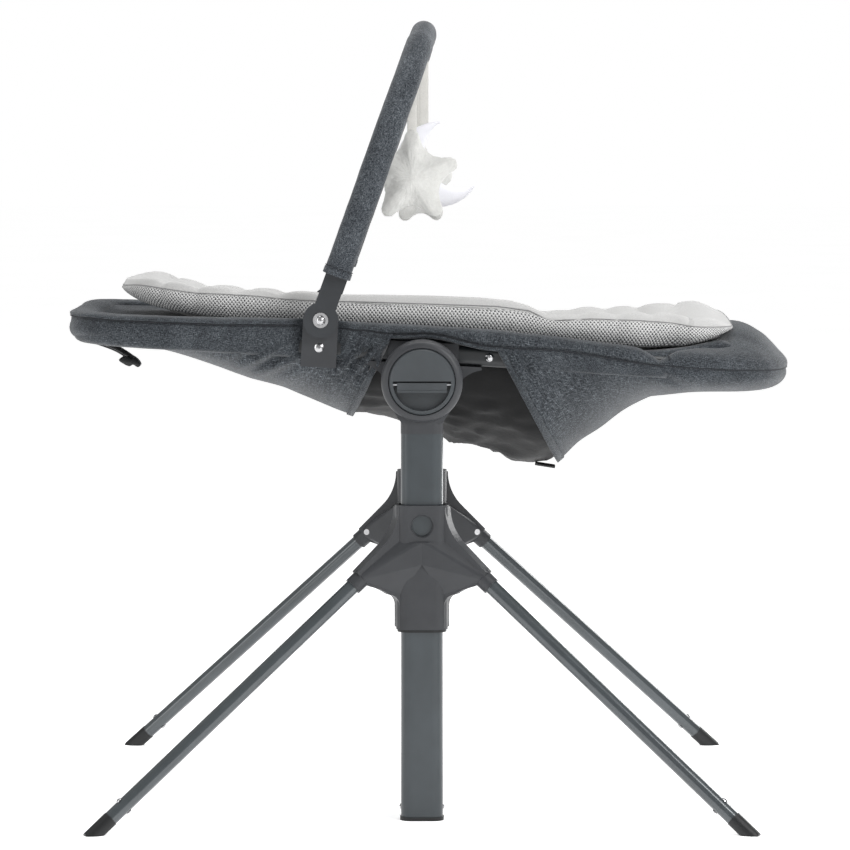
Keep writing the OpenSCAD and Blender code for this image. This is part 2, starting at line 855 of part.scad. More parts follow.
// Section of the padding round the tube, drawn as [across, up]
module padding_outline(w, h, r, mid) {
    difference() {
        translate([0, mid]) rounded(w, h, r);
        translate([0, tube_rise]) tube_outline(0.5);
    }
}

module seat_rim() {
    color("#474e57") seat_frame() difference() {
        union() {
            side_run(-head_reach + head_corner, foot_reach - foot_corner - fit_gap)
                padding_outline(rim_w, rim_h, 12, rim_mid);
            mirror([1, 0, 0]) end_run(head_reach, head_corner)
                padding_outline(rim_w, rim_h, 12, rim_mid);
        }
        bracket_notches();
        for (s = [0, 1]) mirror([0, s, 0])
            translate([-78, 150, 0]) cube([156, 80, tube_rise + tube_h / 2 + 2]);
    }
}

// Foot end: the padded bolster round the tube and the pad that slopes up to it
module foot_pad() {
    rows = 8;
    columns = 10;
    from = foot_reach - 89;
    to = foot_reach - 20;
    top_line = [[from, 34], [from + 21, 36], [from + 51, 58], [to, 57]];
    function at(i) = from + (to - from) * i / rows;
    function half(u) = frame_half - foot_corner
        + sqrt(pow(foot_corner - bolster_w / 2 - 2, 2) - pow(u - foot_reach + foot_corner, 2));
    function row(u, line) = [for (j = [0 : columns])
        let (q = 2 * j / columns - 1) [u, q * half(u), line - 6 * pow(abs(q), 4)]];
    color("#474e57") seat_frame() {
        slab(
            [for (i = [0 : rows]) row(at(i), curve(at(i), top_line))],
            [for (i = [0 : rows]) [for (p = row(at(i), 8)) [p[0], p[1], 4]]]
        );
        end_run(foot_reach, foot_corner) padding_outline(bolster_w, bolster_h, 15, bolster_mid);
    }
}

module insert_pad() {
    rows = 22;
    columns = 14;
    function at(i) = insert_from + (insert_to - insert_from) * i / rows;
    function grid(low) = [for (i = [0 : rows]) let (u = at(i), h = insert_half(u))
        [for (j = [0 : columns]) let (v = h * (2 * j / columns - 1))
            [u, v, low ? insert_low(u, v) : insert_top(u, v)]]];
    color("#c9c9c8") seat_frame() slab(grid(false), grid(true));
}

// Webbing laid on the insert between two points, seen from above
module webbing(a, b, width) {
    steps = 8;
    lift = 2.5;
    thick = 1.6;
    run = b - a;
    across = [-run[1], run[0]] / norm(run) * width / 2;
    function row(t, h) = [for (k = [-1, 1]) let (p = a + run * t + across * k)
        [p[0], p[1], insert_top(p[0], p[1]) + lift + h]];
    slab(
        [for (i = [0 : steps]) row(i / steps, thick)],
        [for (i = [0 : steps]) row(i / steps, 0)]
    );
}

buckle_u = 62;
module harness_straps() {
    color("#5a5f64") seat_frame() {
        webbing([buckle_u + 24, 0], [150, 0], 25);
        webbing([20, 118], [buckle_u - 10, 33], 20);
        webbing([buckle_u - 10, -33], [20, -118], 20);
    }
}

module buckle_place() {
    seat_frame() translate([buckle_u, 0, insert_top(buckle_u, 0) + 7.5]) children();
}

module harness_buckle() {
    color("#2c2e31") buckle_place() difference() {
        linear_extrude(12) rounded(44, 42, 10);
        translate([0, 0, 5]) linear_extrude(10) rounded(22.6, 22.6, 5.3);
    }
}

module buckle_button() {
    color("#7d8288") buckle_place() translate([0, 0, 8]) linear_extrude(5.5) rounded(22, 22, 5);
}

// Spare webbing end that hangs under the head end, with its plastic tip
module head_strap() {
    line = [[-369, 11.5], [-350, 8], [-335, 2], [-325, -5], [-312, -10]];
    steps = 8;
    function at(i) = -368 + 54 * i / steps;
    function row(i, h) = [for (v = [-70, -48]) [at(i), v, curve(at(i), line) + h]];
    color("#1e2022") seat_frame() {
        slab([for (i = [0 : steps]) row(i, 1.6)], [for (i = [0 : steps]) row(i, 0)]);
        translate([-315, -72, -13.5]) cube([13, 26, 5]);
    }
}

// Puts a sub-part where it belongs, on the right or the left side
module put(s = "right") {
    translate([place_x, 0, 0]) side(s) children();
}

put() leg_hub();  // leg_hub_right
put("left") leg_hub();  // leg_hub_left
put() leg("front");  // leg_front_right
put() leg("rear");  // leg_rear_right
put("left") leg("front");  // leg_front_left
put("left") leg("rear");  // leg_rear_left
put() foot("front");  // foot_front_right
put() foot("rear");  // foot_rear_right
put("left") foot("front");  // foot_front_left
put("left") foot("rear");  // foot_rear_left
put() leg_rivets();
put() leg_screws();
put() crossbar();
put() guide_bush();  // guide_bush_right
put("left") guide_bush();  // guide_bush_left
put() post();  // post_right
put("left") post();  // post_left
put() post_foot();  // post_foot_right
put("left") post_foot();  // post_foot_left
put() post_foot_rivets();
put() hub_housing();  // hub_housing_right
put("left") hub_housing();  // hub_housing_left
put() hub_cap();  // hub_cap_right
put("left") hub_cap();  // hub_cap_left
put() hub_bushes();
put() lever_pins();
put() height_button();  // height_button_right
put("left") height_button();  // height_button_left
put() release_lever();  // release_lever_right
put("left") release_lever();  // release_lever_left
put() lock_bolt();  // lock_bolt_right
put("left") lock_bolt();  // lock_bolt_left
put() tilt_axle();  // tilt_axle_right
put("left") tilt_axle();  // tilt_axle_left
put() axle_screws();
put() carrier();  // carrier_right
put("left") carrier();  // carrier_left
put() seat_tube_rear();
put() seat_tube_front();
put() carrier_rivets();
put() toy_bracket();  // toy_bracket_right
put("left") toy_bracket();  // toy_bracket_left
put() bracket_rivets();
put() pivot_bolts();
put() seat_rim();
put() cover_rear();
put() cover_front();
put() sling();
put() foot_pad();
put() insert_pad();
put() harness_straps();
put() harness_buckle();
put() buckle_button();
put() head_strap();
put() toy_bar_arms();
put() toy_bar_tube();
put() toy_bar_sleeve();
put() toy_star(-180, 122, 55, 0, -3);  // toy_star_right
put() toy_moon();
put() toy_star(140, 161, 50, 38, 0);  // toy_star_left
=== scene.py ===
"""Baby swing: the soft parts, surfaces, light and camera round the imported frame."""
import math

import bmesh
import bpy
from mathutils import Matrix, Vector, noise


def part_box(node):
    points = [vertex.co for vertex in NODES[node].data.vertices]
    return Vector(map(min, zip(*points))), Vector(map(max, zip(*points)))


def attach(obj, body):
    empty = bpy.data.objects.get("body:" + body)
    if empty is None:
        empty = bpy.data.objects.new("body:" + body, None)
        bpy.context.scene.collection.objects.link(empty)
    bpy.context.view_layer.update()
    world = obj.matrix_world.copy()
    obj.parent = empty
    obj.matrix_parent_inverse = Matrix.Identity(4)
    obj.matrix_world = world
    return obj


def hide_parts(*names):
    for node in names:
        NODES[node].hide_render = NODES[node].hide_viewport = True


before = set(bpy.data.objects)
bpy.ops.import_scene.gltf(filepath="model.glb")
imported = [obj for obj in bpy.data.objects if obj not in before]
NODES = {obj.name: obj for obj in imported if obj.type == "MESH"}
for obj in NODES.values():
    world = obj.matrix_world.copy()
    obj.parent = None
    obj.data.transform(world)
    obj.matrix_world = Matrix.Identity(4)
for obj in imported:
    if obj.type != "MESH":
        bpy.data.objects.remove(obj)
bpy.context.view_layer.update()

# ---------- Places, all worked out in the seat's own frame ----------
# u runs from the tilt axis to the foot end, v to the baby's left, w up from the axis, in millimetres.

SEAT_TILT = math.radians(3.3)
BAR_LEAN = math.radians(19.8)


def node_centre(name):
    low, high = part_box(name)
    return (low + high) / 2


AXIS = node_centre("tilt_axle_right")
HALF = 190
HEAD, FOOT = 368, 382
HEAD_CORNER, FOOT_CORNER = 70, 140
HEAD_U, FOOT_U = HEAD_CORNER - HEAD, FOOT - FOOT_CORNER


def seat(u, v, w):
    """A point of the seat's frame in the row frame, in metres."""
    c, s = math.cos(SEAT_TILT), math.sin(SEAT_TILT)
    return Vector((AXIS.x + (u * c + w * s) / 1000, v / 1000, AXIS.z + (w * c - u * s) / 1000))


PIVOT = seat(-112, 0, 57)
BAR_HALF, BAR_REACH, BAR_CORNER = 212, 327, 120


def on_bar(n, v, h):
    """A point of the toy bar's frame: n in front of the arch's plane, v across, h up from the pivots."""
    c, s = math.cos(BAR_LEAN), math.sin(BAR_LEAN)
    return Vector((PIVOT.x + (n * c + h * s) / 1000, v / 1000, PIVOT.z + (h * c - n * s) / 1000))


def lerp(a, b, t):
    return a + (b - a) * t


def clamp(t):
    return max(0.0, min(1.0, t))


def smooth(a, b, x):
    t = clamp((x - a) / (b - a))
    return t * t * (3 - 2 * t)


def curve(x, points):
    """Smooth curve through (x, y) control points, flat beyond the ends."""
    if x <= points[0][0]:
        return points[0][1]
    if x >= points[-1][0]:
        return points[-1][1]
    i = next(k for k in range(len(points) - 1) if x <= points[k + 1][0])

    def slope(k):
        a, b = max(0, k - 1), min(len(points) - 1, k + 1)
        return (points[b][1] - points[a][1]) / (points[b][0] - points[a][0])

    (x0, y0), (x1, y1) = points[i], points[i + 1]
    h, t = x1 - x0, (x - x0) / (x1 - x0)
    return (
        (1 + 2 * t) * (1 - t) ** 2 * y0
        + t * (1 - t) ** 2 * h * slope(i)
        + t * t * (3 - 2 * t) * y1
        + t * t * (t - 1) * h * slope(i + 1)
    )


def ripple(x, y, z, size, seed=0.0):
    """Smooth noise from -1 to 1, with features of about size millimetres."""
    return noise.noise(Vector((x / size + seed * 7.1, y / size - seed * 3.3, z / size + seed)))


# ---------- Materials ----------


class Look:
    """A node material being built: its shader, and short ways to add textures."""

    def __init__(self, name, rough, metal=0.0, coat=0.0, sheen=0.0, spec=0.5):
        self.mat = bpy.data.materials.new(name)
        self.mat.use_nodes = True
        self.tree = self.mat.node_tree
        self.shader = self.tree.nodes["Principled BSDF"]
        self.shader.inputs["Roughness"].default_value = rough
        self.shader.inputs["Metallic"].default_value = metal
        self.shader.inputs["Coat Weight"].default_value = coat
        self.shader.inputs["Sheen Weight"].default_value = sheen
        self.shader.inputs["Sheen Roughness"].default_value = 0.4
        self.shader.inputs["Specular IOR Level"].default_value = spec
        self.bumps = None

    def node(self, kind, **values):
        made = self.tree.nodes.new(kind)
        for key, value in values.items():
            setattr(made, key, value)
        return made

    def link(self, a, b):
        self.tree.links.new(a, b)

    def place(self, scale=(1, 1, 1), turn=0.0, uv=False):
        """Texture coordinates in millimetres: the row frame, or a fabric's own weave directions."""
        source = self.node("ShaderNodeTexCoord").outputs["UV" if uv else "Object"]
        mapping = self.node("ShaderNodeMapping")
        mapping.inputs["Scale"].default_value = [1000 * s for s in scale]
        mapping.inputs["Rotation"].default_value[2] = turn
        self.link(source, mapping.inputs["Vector"])
        return mapping.outputs["Vector"]

    def noise(self, place, scale=1.0, detail=3.0, rough=0.6):
        made = self.node("ShaderNodeTexNoise")
        made.inputs["Scale"].default_value = scale
        made.inputs["Detail"].default_value = detail
        made.inputs["Roughness"].default_value = rough
        self.link(place, made.inputs["Vector"])
        return made.outputs["Fac"]

    def bands(self, place, scale, distortion, direction="X"):
        """Parallel threads, as a wave from 0 to 1."""
        made = self.node("ShaderNodeTexWave", wave_type="BANDS", bands_direction=direction)
        made.inputs["Scale"].default_value = scale
        made.inputs["Distortion"].default_value = distortion
        self.link(place, made.inputs["Vector"])
        return made

    def math(self, operation, a, b=0.0):
        made = self.node("ShaderNodeMath", operation=operation)
        for socket, value in zip(made.inputs, (a, b)):
            if hasattr(value, "links"):
                self.link(value, socket)
            else:
                socket.default_value = value
        return made.outputs[0]

    def ramp(self, fac, stops):
        made = self.node("ShaderNodeValToRGB")
        ramp = made.color_ramp
        while len(ramp.elements) < len(stops):
            ramp.elements.new(0.5)
        for element, (at, colour) in zip(ramp.elements, stops):
            element.position = at
            element.color = (*colour, 1)
        self.link(fac, made.inputs["Fac"])
        return made.outputs["Color"]

    def colour(self, fac, stops):
        self.link(self.ramp(fac, stops), self.shader.inputs["Base Color"])
        return self

    def roughness(self, fac, low, high):
        made = self.node("ShaderNodeMapRange")
        made.inputs["To Min"].default_value = low
        made.inputs["To Max"].default_value = high
        self.link(fac, made.inputs["Value"])
        self.link(made.outputs["Result"], self.shader.inputs["Roughness"])
        return self

    def bump(self, height, distance, strength=1.0):
        """Adds relief of distance millimetres."""
        made = self.node("ShaderNodeBump")
        made.inputs["Distance"].default_value = distance / 1000
        made.inputs["Strength"].default_value = strength
        self.link(height, made.inputs["Height"])
        if self.bumps:
            self.link(self.bumps, made.inputs["Normal"])
        self.bumps = made.outputs["Normal"]
        self.link(self.bumps, self.shader.inputs["Normal"])
        return self


def shades(colour, low, high):
    return [tuple(c * low for c in colour), tuple(c * high for c in colour)]


def moulded(name, colour, rough, grain=1.6, relief=0.05, spec=0.4):
    """Moulded plastic: fine spark-eroded grain, faint flow marks and handling shine."""
    look = Look(name, rough, spec=spec)
    place = look.place()
    dark, light = shades(colour, 0.86, 1.14)
    look.colour(look.noise(place, 0.02, 3), [(0.3, dark), (0.7, light)])
    look.roughness(look.noise(place, 0.05, 4), rough - 0.07, rough + 0.09)
    look.bump(look.noise(place, grain, 2), relief, 0.6)
    return look.mat


def painted(name, colour, rough, coat):
    """Powder-coated tube: slight orange peel under a clear gloss."""
    look = Look(name, rough, metal=0.25, coat=coat)
    look.shader.inputs["Coat Roughness"].default_value = 0.12
    place = look.place()
    dark, light = shades(colour, 0.9, 1.1)
    look.colour(look.noise(place, 0.03, 2), [(0.3, dark), (0.7, light)])
    look.roughness(look.noise(place, 0.08, 3), rough - 0.05, rough + 0.06)
    look.bump(look.noise(place, 0.35, 2), 0.04, 0.35)
    return look.mat


def steel(name, colour, rough, relief=0.02):
    look = Look(name, rough, metal=1.0)
    place = look.place()
    dark, light = shades(colour, 0.85, 1.1)
    look.colour(look.noise(place, 0.15, 3), [(0.3, dark), (0.7, light)])
    look.roughness(look.noise(place, 0.6, 3), rough * 0.7, rough * 1.4)
    look.bump(look.noise(place, 2.0, 2), relief, 0.4)
    return look.mat


def melange(name, dark, light, turn=0.0, rough=0.92, size=1.0, uv=True):
    """Woven melange: pale flecks along both thread directions over a dark ground."""
    look = Look(name, rough, sheen=0.25, spec=0.15)
    across = look.noise(look.place((0.17 / size, 1.3 / size, 1.3 / size), turn + 0.5, uv), 1.0, 3, 0.75)
    along = look.noise(look.place((1.3 / size, 0.24 / size, 1.3 / size), turn + 0.3, uv), 1.0, 3, 0.75)
    flecks = look.math("MAXIMUM", across, along)
    blot = look.noise(look.place(uv=uv), 0.03, 2)
    tone = look.math("ADD", flecks, look.math("MULTIPLY", look.math("SUBTRACT", blot, 0.5), 0.12))
    middle = tuple(lerp(a, b, 0.28) for a, b in zip(dark, light))
    look.colour(tone, [(0.47, dark), (0.60, middle), (0.74, light)])
    thread = look.place((1, 1, 1), turn, uv)
    weave, weft = (look.bands(thread, 0.30 / size, 1.2, direction) for direction in "XY")
    look.bump(look.math("ADD", weave.outputs["Fac"], weft.outputs["Fac"]), 0.14, 0.5)
    look.bump(flecks, 0.25, 0.5)
    return look.mat


def jersey(name, colour, rough=0.95, rib=0.5, uv=True, fleck=0.06):
    """Fine knit: rows of small loops, faint melange."""
    look = Look(name, rough, sheen=0.3, spec=0.12)
    place = look.place(uv=uv)
    dark, light = shades(colour, 1 - 2 * fleck, 1 + fleck)
    fine = look.noise(look.place((0.5, 1.4, 1.0), 0.0, uv), 1.0, 4, 0.7)
    look.colour(fine, [(0.35, dark), (0.65, light)])
    wave = look.bands(place, rib * 0.32, 2.0)
    wave.inputs["Detail Scale"].default_value = 3.0
    look.bump(wave.outputs["Fac"], 0.10, 0.4)
    look.bump(fine, 0.2, 0.4)
    return look.mat


def open_mesh(name, strand, hole_shade, pitch=4.1, row=2.3):
    """Spacer mesh: staggered diamond openings between knitted strands, with painted shade in the openings."""
    look = Look(name, 0.8, sheen=0.15, spec=0.2)
    split = look.node("ShaderNodeSeparateXYZ")
    look.link(look.place(uv=True), split.inputs[0])
    wave_x = look.math("COSINE", look.math("MULTIPLY", split.outputs["X"], 2 * math.pi / pitch))
    wave_y = look.math("COSINE", look.math("MULTIPLY", split.outputs["Y"], math.pi / row))
    opening = look.math("MULTIPLY", wave_x, wave_y)
    wobble = look.math("SUBTRACT", look.noise(look.place(uv=True), 0.5, 2), 0.5)
    shape = look.math("ADD", opening, look.math("MULTIPLY", wobble, 0.5))
    # Pale strands, with the openings painted dark as shade inside them.
    look.colour(shape,
                [(0.05, strand), (0.28, tuple(lerp(a, b, 0.35) for a, b in zip(strand, hole_shade))), (0.52, hole_shade)])
    look.bump(look.math("MULTIPLY", shape, -1.0), 0.8, 0.8)
    return look.mat


def creased(name, colour, rough=0.6):
    """Thin woven polyester with a soft shine."""
    look = Look(name, rough, sheen=0.04, spec=0.25)
    place = look.place()
    dark, light = shades(colour, 0.8, 1.25)
    look.colour(look.noise(place, 0.05, 4), [(0.3, dark), (0.7, light)])
    look.bump(look.noise(place, 1.4, 2), 0.12, 0.5)
    look.bump(look.noise(place, 0.06, 4), 1.5, 0.5)
    return look.mat


def webbing(name, colour, pitch=1.6):
    """Ribbed narrow webbing, with painted shade in the grooves between ribs and painted light on the crests.
    """
    look = Look(name, 0.75, sheen=0.2, spec=0.25)
    place = look.place(uv=True)
    wave = look.bands(place, 0.32 / pitch, 0.6)
    dark, light = shades(colour, 0.7, 1.25)
    fine = look.noise(look.place((0.6, 1.4, 1), 0, True), 1.0, 3)
    # Colour follows the ribs: painted shade in the grooves and painted light on the crests, plus a random
    # fine tone.
    look.colour(look.math("MULTIPLY", look.math("ADD", wave.outputs["Fac"], fine), 0.5),
                [(0.25, dark), (0.75, light)])
    look.bump(wave.outputs["Fac"], 0.25, 0.6)
    return look.mat


def plush(name, colour, pile=0.5):
    """Short fur: soft mottling, deep sheen, fibre-scale relief."""
    look = Look(name, 1.0, sheen=0.6, spec=0.05)
    place = look.place()
    dark, light = shades(colour, 0.9, 1.03)
    mottle = look.math("ADD", look.math("MULTIPLY", look.noise(place, 0.09, 3), 0.6),
                       look.math("MULTIPLY", look.noise(place, 0.7, 4), 0.4))
    look.colour(mottle, [(0.38, dark), (0.62, light)])
    look.bump(look.noise(place, pile, 4, 0.7), 1.0, 0.6)
    return look.mat


PLASTIC = moulded("hub_plastic", (0.036, 0.038, 0.042), 0.42)
CAP = moulded("cap_plastic", (0.046, 0.052, 0.057), 0.36)
ARM = moulded("arm_plastic", (0.028, 0.031, 0.035), 0.4)
BLACK_PLASTIC = moulded("black_plastic", (0.011, 0.012, 0.013), 0.45)
BUTTON = moulded("button_plastic", (0.2, 0.21, 0.22), 0.5)
BUSH = moulded("bush_plastic", (0.7, 0.7, 0.67), 0.5)
LEG_PAINT = painted("leg_paint", (0.052, 0.062, 0.068), 0.22, 0.8)
POST_PAINT = painted("post_paint", (0.038, 0.047, 0.053), 0.34, 0.3)
FRAME_PAINT = painted("frame_paint", (0.016, 0.018, 0.02), 0.4, 0.2)
RIVET = steel("rivet_steel", (0.5, 0.5, 0.51), 0.2)
ZINC = steel("zinc_steel", (0.55, 0.56, 0.58), 0.35)
MELANGE = melange("melange_fabric", (0.012, 0.0145, 0.018), (0.24, 0.265, 0.29), size=0.72)
SLEEVE = melange("sleeve_fabric", (0.016, 0.019, 0.024), (0.30, 0.33, 0.36), turn=0.7, size=0.8)
BLACK_CLOTH = creased("black_cloth", (0.0045, 0.0046, 0.005))
THREAD = creased("thread", (0.02, 0.022, 0.026), 0.7)
JERSEY = jersey("grey_jersey", (0.53, 0.528, 0.522))
# The second colour is painted shade for the mesh openings.
MESH_CLOTH = open_mesh("spacer_mesh", (0.74, 0.74, 0.735), (0.10, 0.10, 0.105))
WEB = webbing("harness_web", (0.09, 0.1, 0.11))
STRAP = webbing("strap_web", (0.014, 0.015, 0.017))
RIBBON = webbing("ribbon_web", (0.62, 0.61, 0.58), 1.2)
PLUSH = plush("plush", (0.62, 0.62, 0.60))
VELOUR = jersey("white_velour", (0.76, 0.76, 0.8), fleck=0.02, uv=False)

CAD_LOOKS = {
    "leg_hub": PLASTIC, "leg_rivets": RIVET, "leg_screws": RIVET, "leg_front": LEG_PAINT,
    "leg_rear": LEG_PAINT,
    "crossbar": LEG_PAINT, "foot_": BLACK_PLASTIC, "post_foot_rivets": RIVET, "post_foot": BLACK_PLASTIC,
    "post_": POST_PAINT, "guide_bush": BLACK_PLASTIC, "height_button": BLACK_PLASTIC, "hub_housing": PLASTIC,
    "hub_cap": CAP, "hub_bushes": BUSH, "lever_pins": ZINC, "release_lever": CAP, "lock_bolt": ZINC,
    "tilt_axle": ZINC, "axle_screws": RIVET, "carrier_rivets": RIVET, "carrier": PLASTIC,
    "seat_tube": FRAME_PAINT,
    "toy_bracket": PLASTIC, "bracket_rivets": RIVET, "pivot_bolts": RIVET, "harness_buckle": BLACK_PLASTIC,
    "buckle_button": BUTTON, "toy_bar_arms": ARM, "toy_bar_tube": ZINC,
}


def paint(piece, material):
    piece.data.materials.clear()
    piece.data.materials.append(material)


def finish_cad_nodes():
    for name, piece in NODES.items():
        key = next((k for k in CAD_LOOKS if name.startswith(k)), None)
        if key:
            paint(piece, CAD_LOOKS[key])


finish_cad_nodes()

# ---------- Light, floor and camera ----------


def make_floor():
    bpy.ops.mesh.primitive_plane_add(size=60)
    floor = bpy.context.object
    floor.name = "floor"
    look = Look("floor_white", 0.9, spec=0.0)
    look.colour(look.noise(look.place(), 0.002, 2), [(0.3, (0.93, 0.93, 0.93)), (0.7, (0.96, 0.96, 0.96))])
    look.shader.inputs["Emission Color"].default_value = (1, 1, 1, 1)
    look.shader.inputs["Emission Strength"].default_value = 0.6
    paint(floor, look.mat)


def add_light(name, place, target, size, power, colour=(1, 1, 1)):
    data = bpy.data.lights.new(name, "AREA")
    data.shape = "RECTANGLE"
    data.size, data.size_y = size
    data.energy = power
    data.color = colour
    lamp = bpy.data.objects.new(name, data)
    lamp.location = place
    lamp.rotation_euler = (Vector(target) - Vector(place)).to_track_quat("-Z", "Y").to_euler()
    bpy.context.scene.collection.objects.link(lamp)


ROOM_LIGHT, ROOM_SEEN = 0.42, 1.0
SUBJECT = (0, 0, 0.5)


def make_lights():
    """A white room that the camera sees as pure white, dimmer as a light than the softboxes in it."""
    world = bpy.data.worlds.new("studio")
    bpy.context.scene.world = world
    world.use_nodes = True
    tree = world.node_tree
    path = tree.nodes.new("ShaderNodeLightPath")
    strength = tree.nodes.new("ShaderNodeMapRange")
    strength.inputs["To Min"].default_value = ROOM_LIGHT
    strength.inputs["To Max"].default_value = ROOM_SEEN
    tree.links.new(path.outputs["Is Camera Ray"], strength.inputs["Value"])
    tree.links.new(strength.outputs["Result"], tree.nodes["Background"].inputs["Strength"])
    tree.nodes["Background"].inputs["Color"].default_value = (1, 1, 1, 1)
    add_light("key", (2.3, -2.3, 2.3), SUBJECT, (1.5, 1.5), 70)
    add_light("top", (0.1, 0.4, 3.0), SUBJECT, (2.6, 1.6), 48)
    add_light("left", (-2.6, -1.2, 1.3), SUBJECT, (0.7, 2.2), 16)
    add_light("edge", (1.9, 2.2, 0.9), SUBJECT, (0.7, 2.0), 30)


CAMERA_BACK, CAMERA_HIGH, AIM_HIGH = 5.345, 0.769, 0.4075
LENS, SENSOR = 203.15, 36


def make_camera():
    data = bpy.data.cameras.new("camera")
    data.sensor_width = SENSOR
    data.lens = LENS
    data.clip_end = 100
    camera = bpy.data.objects.new("camera", data)
    camera.location = (AXIS.x - 0.0003, -CAMERA_BACK, CAMERA_HIGH)
    target = Vector((AXIS.x + 0.0034, 0, AIM_HIGH))
    camera.rotation_euler = (target - camera.location).to_track_quat("-Z", "Y").to_euler()
    bpy.context.scene.collection.objects.link(camera)
    bpy.context.scene.camera = camera


make_floor()
make_lights()
make_camera()
bpy.context.scene.view_settings.view_transform = "Standard"

# ---------- Mesh helpers ----------


def make_piece(name, points, faces, uvs, materials, slots=None):
    """A smooth mesh piece; uvs holds one (x, y) in metres for each face corner."""
    mesh = bpy.data.meshes.new(name)
    mesh.from_pydata(points, [], faces)
    layer = mesh.uv_layers.new(name="UVMap")
    layer.data.foreach_set("uv", [c for uv in uvs for c in uv])
    for material in materials:
        mesh.materials.append(material)
    if slots:
        mesh.polygons.foreach_set("material_index", slots)
    mesh.polygons.foreach_set("use_smooth", [True] * len(mesh.polygons))
    mesh.update()
    piece = bpy.data.objects.new(name, mesh)
    bpy.context.scene.collection.objects.link(piece)
    return piece


def grid(name, rows, material, loop_rows=False, loop_cols=False, ends=False, uv_start=(0, 0)):
    """A surface through rows of points. Its UVs are the lengths along the two directions."""
    n, m = len(rows), len(rows[0])
    points = [p for row in rows for p in row]
    down, along = [0.0], [0.0]
    mid = m // 2
    for i in range(n):
        down.append(down[-1] + (rows[(i + 1) % n][mid] - rows[i][mid]).length)
    mid = n // 2
    for j in range(m):
        along.append(along[-1] + (rows[mid][(j + 1) % m] - rows[mid][j]).length)
    faces, uvs = [], []
    for i in range(n if loop_rows else n - 1):
        for j in range(m if loop_cols else m - 1):
            corners = ((i, j), (i, j + 1), (i + 1, j + 1), (i + 1, j))
            faces.append([(a % n) * m + b % m for a, b in corners])
            uvs += [(down[a] + uv_start[0], along[b] + uv_start[1]) for a, b in corners]
    if ends:
        for i in (0, n - 1):
            order = list(range(m)) if i else list(range(m))[::-1]
            faces.append([i * m + j for j in order])
            uvs += [(down[i], along[j]) for j in order]
    return make_piece(name, points, faces, uvs, [material])


def outward(piece):
    """Makes the faces of a closed piece look outwards."""
    made = bmesh.new()
    made.from_mesh(piece.data)
    bmesh.ops.recalc_face_normals(made, faces=made.faces)
    made.to_mesh(piece.data)
    made.free()
    return piece


def merge(piece, reach=0.00002):
    made = bmesh.new()
    made.from_mesh(piece.data)
    bmesh.ops.remove_doubles(made, verts=made.verts, dist=reach)
    bmesh.ops.recalc_face_normals(made, faces=made.faces)
    made.to_mesh(piece.data)
    made.free()
    return piece


def apply_all(piece):
    """Applies every modifier of a piece to its mesh."""
    graph = bpy.context.evaluated_depsgraph_get()
    mesh = bpy.data.meshes.new_from_object(piece.evaluated_get(graph))
    piece.modifiers.clear()
    piece.data = mesh
    return piece


def thicken(piece, mm, offset=-1.0):
    made = piece.modifiers.new("thick", "SOLIDIFY")
    made.thickness = mm / 1000
    made.offset = offset
    return apply_all(piece)


def refine(piece, levels=1):
    made = piece.modifiers.new("round", "SUBSURF")
    made.levels = made.render_levels = levels
    return apply_all(piece)


def displace(piece, amount):
    """Moves each vertex along its normal by amount(place in mm) millimetres."""
    normals = [v.normal.copy() for v in piece.data.vertices]
    for vertex, normal in zip(piece.data.vertices, normals):
        vertex.co += normal * (amount(vertex.co * 1000) / 1000)
    piece.data.update()
    return piece


def closed_curve(points, steps):
    """A smooth closed outline through control points, steps to each."""
    count = len(points)
    made = []
    for i in range(count):
        p0, p1, p2, p3 = (Vector(points[(i + k) % count]) for k in (-1, 0, 1, 2))
        for k in range(steps):
            t = k / steps
            made.append(0.5 * (2 * p1 + (p2 - p0) * t + (2 * p0 - 5 * p1 + 4 * p2 - p3) * t**2
                               + (3 * p1 - p0 - 3 * p2 + p3) * t**3))
    return made


def frames(path):
    """Tangents along a path of points."""
    return [(path[min(i + 1, len(path) - 1)] - path[max(i - 1, 0)]).normalized() for i in range(len(path))]


def cord_mesh(name, path, radius, material, sides=8):
    """A round thread or piping of radius millimetres along a path."""
    rows = []
    for p, t in zip(path, frames(path)):
        a = t.cross(Vector((0, 0, 1)))
        a = (a if a.length > 0.05 else t.cross(Vector((0, 1, 0)))).normalized()
        b = t.cross(a)
        rows.append([p + (a * math.cos(q) + b * math.sin(q)) * radius / 1000
                     for q in (2 * math.pi * k / sides for k in range(sides))])
    return outward(grid(name, rows, material, loop_cols=True, ends=True))


def stitches(name, path, normals, material, pitch=4.2, length=2.7, radius=0.42):
    """A row of stitches along a path: each a short bead that dips into the cloth at its ends."""
    points, faces = [], []
    marks, walked = [0.0], 0.0
    for a, b in zip(path, path[1:]):
        walked += (b - a).length * 1000
        marks.append(walked)

    def at(d):
        k = next((i for i in range(1, len(marks)) if marks[i] >= d), len(marks) - 1)
        t = (d - marks[k - 1]) / max(1e-9, marks[k] - marks[k - 1])
        return path[k - 1].lerp(path[k], t), normals[min(k, len(normals)) - 1]

    d = pitch / 2
    while d + length < walked:
        side = None
        base = len(points)
        for along, high in ((0, -0.3), (0.25, 0.7), (0.75, 0.7), (1, -0.3)):
            c, normal = at(d + along * length)
            side = side or ((at(d + length)[0] - c).normalized().cross(normal).normalized() * radius / 1000)
            c = c + normal * high * radius / 1000
            points += [c - side, c - side * 0.5 + normal * radius / 1000,
                       c + side * 0.5 + normal * radius / 1000, c + side]
        for k in range(3):
            for q in range(3):
                faces.append([base + 4 * k + q, base + 4 * k + q + 1, base + 4 * k + q + 5,
                              base + 4 * k + q + 4])
            faces.append([base + 4 * k + 3, base + 4 * k, base + 4 * k + 4, base + 4 * k + 7])
        faces += [[base + 3, base + 2, base + 1, base], [base + 12, base + 13, base + 14, base + 15]]
        d += pitch
    uvs = [(0.0, 0.0)] * sum(len(f) for f in faces)
    return outward(make_piece(name, points, faces, uvs, [material]))


# ---------- The frame's outline, and the seat's own curves ----------

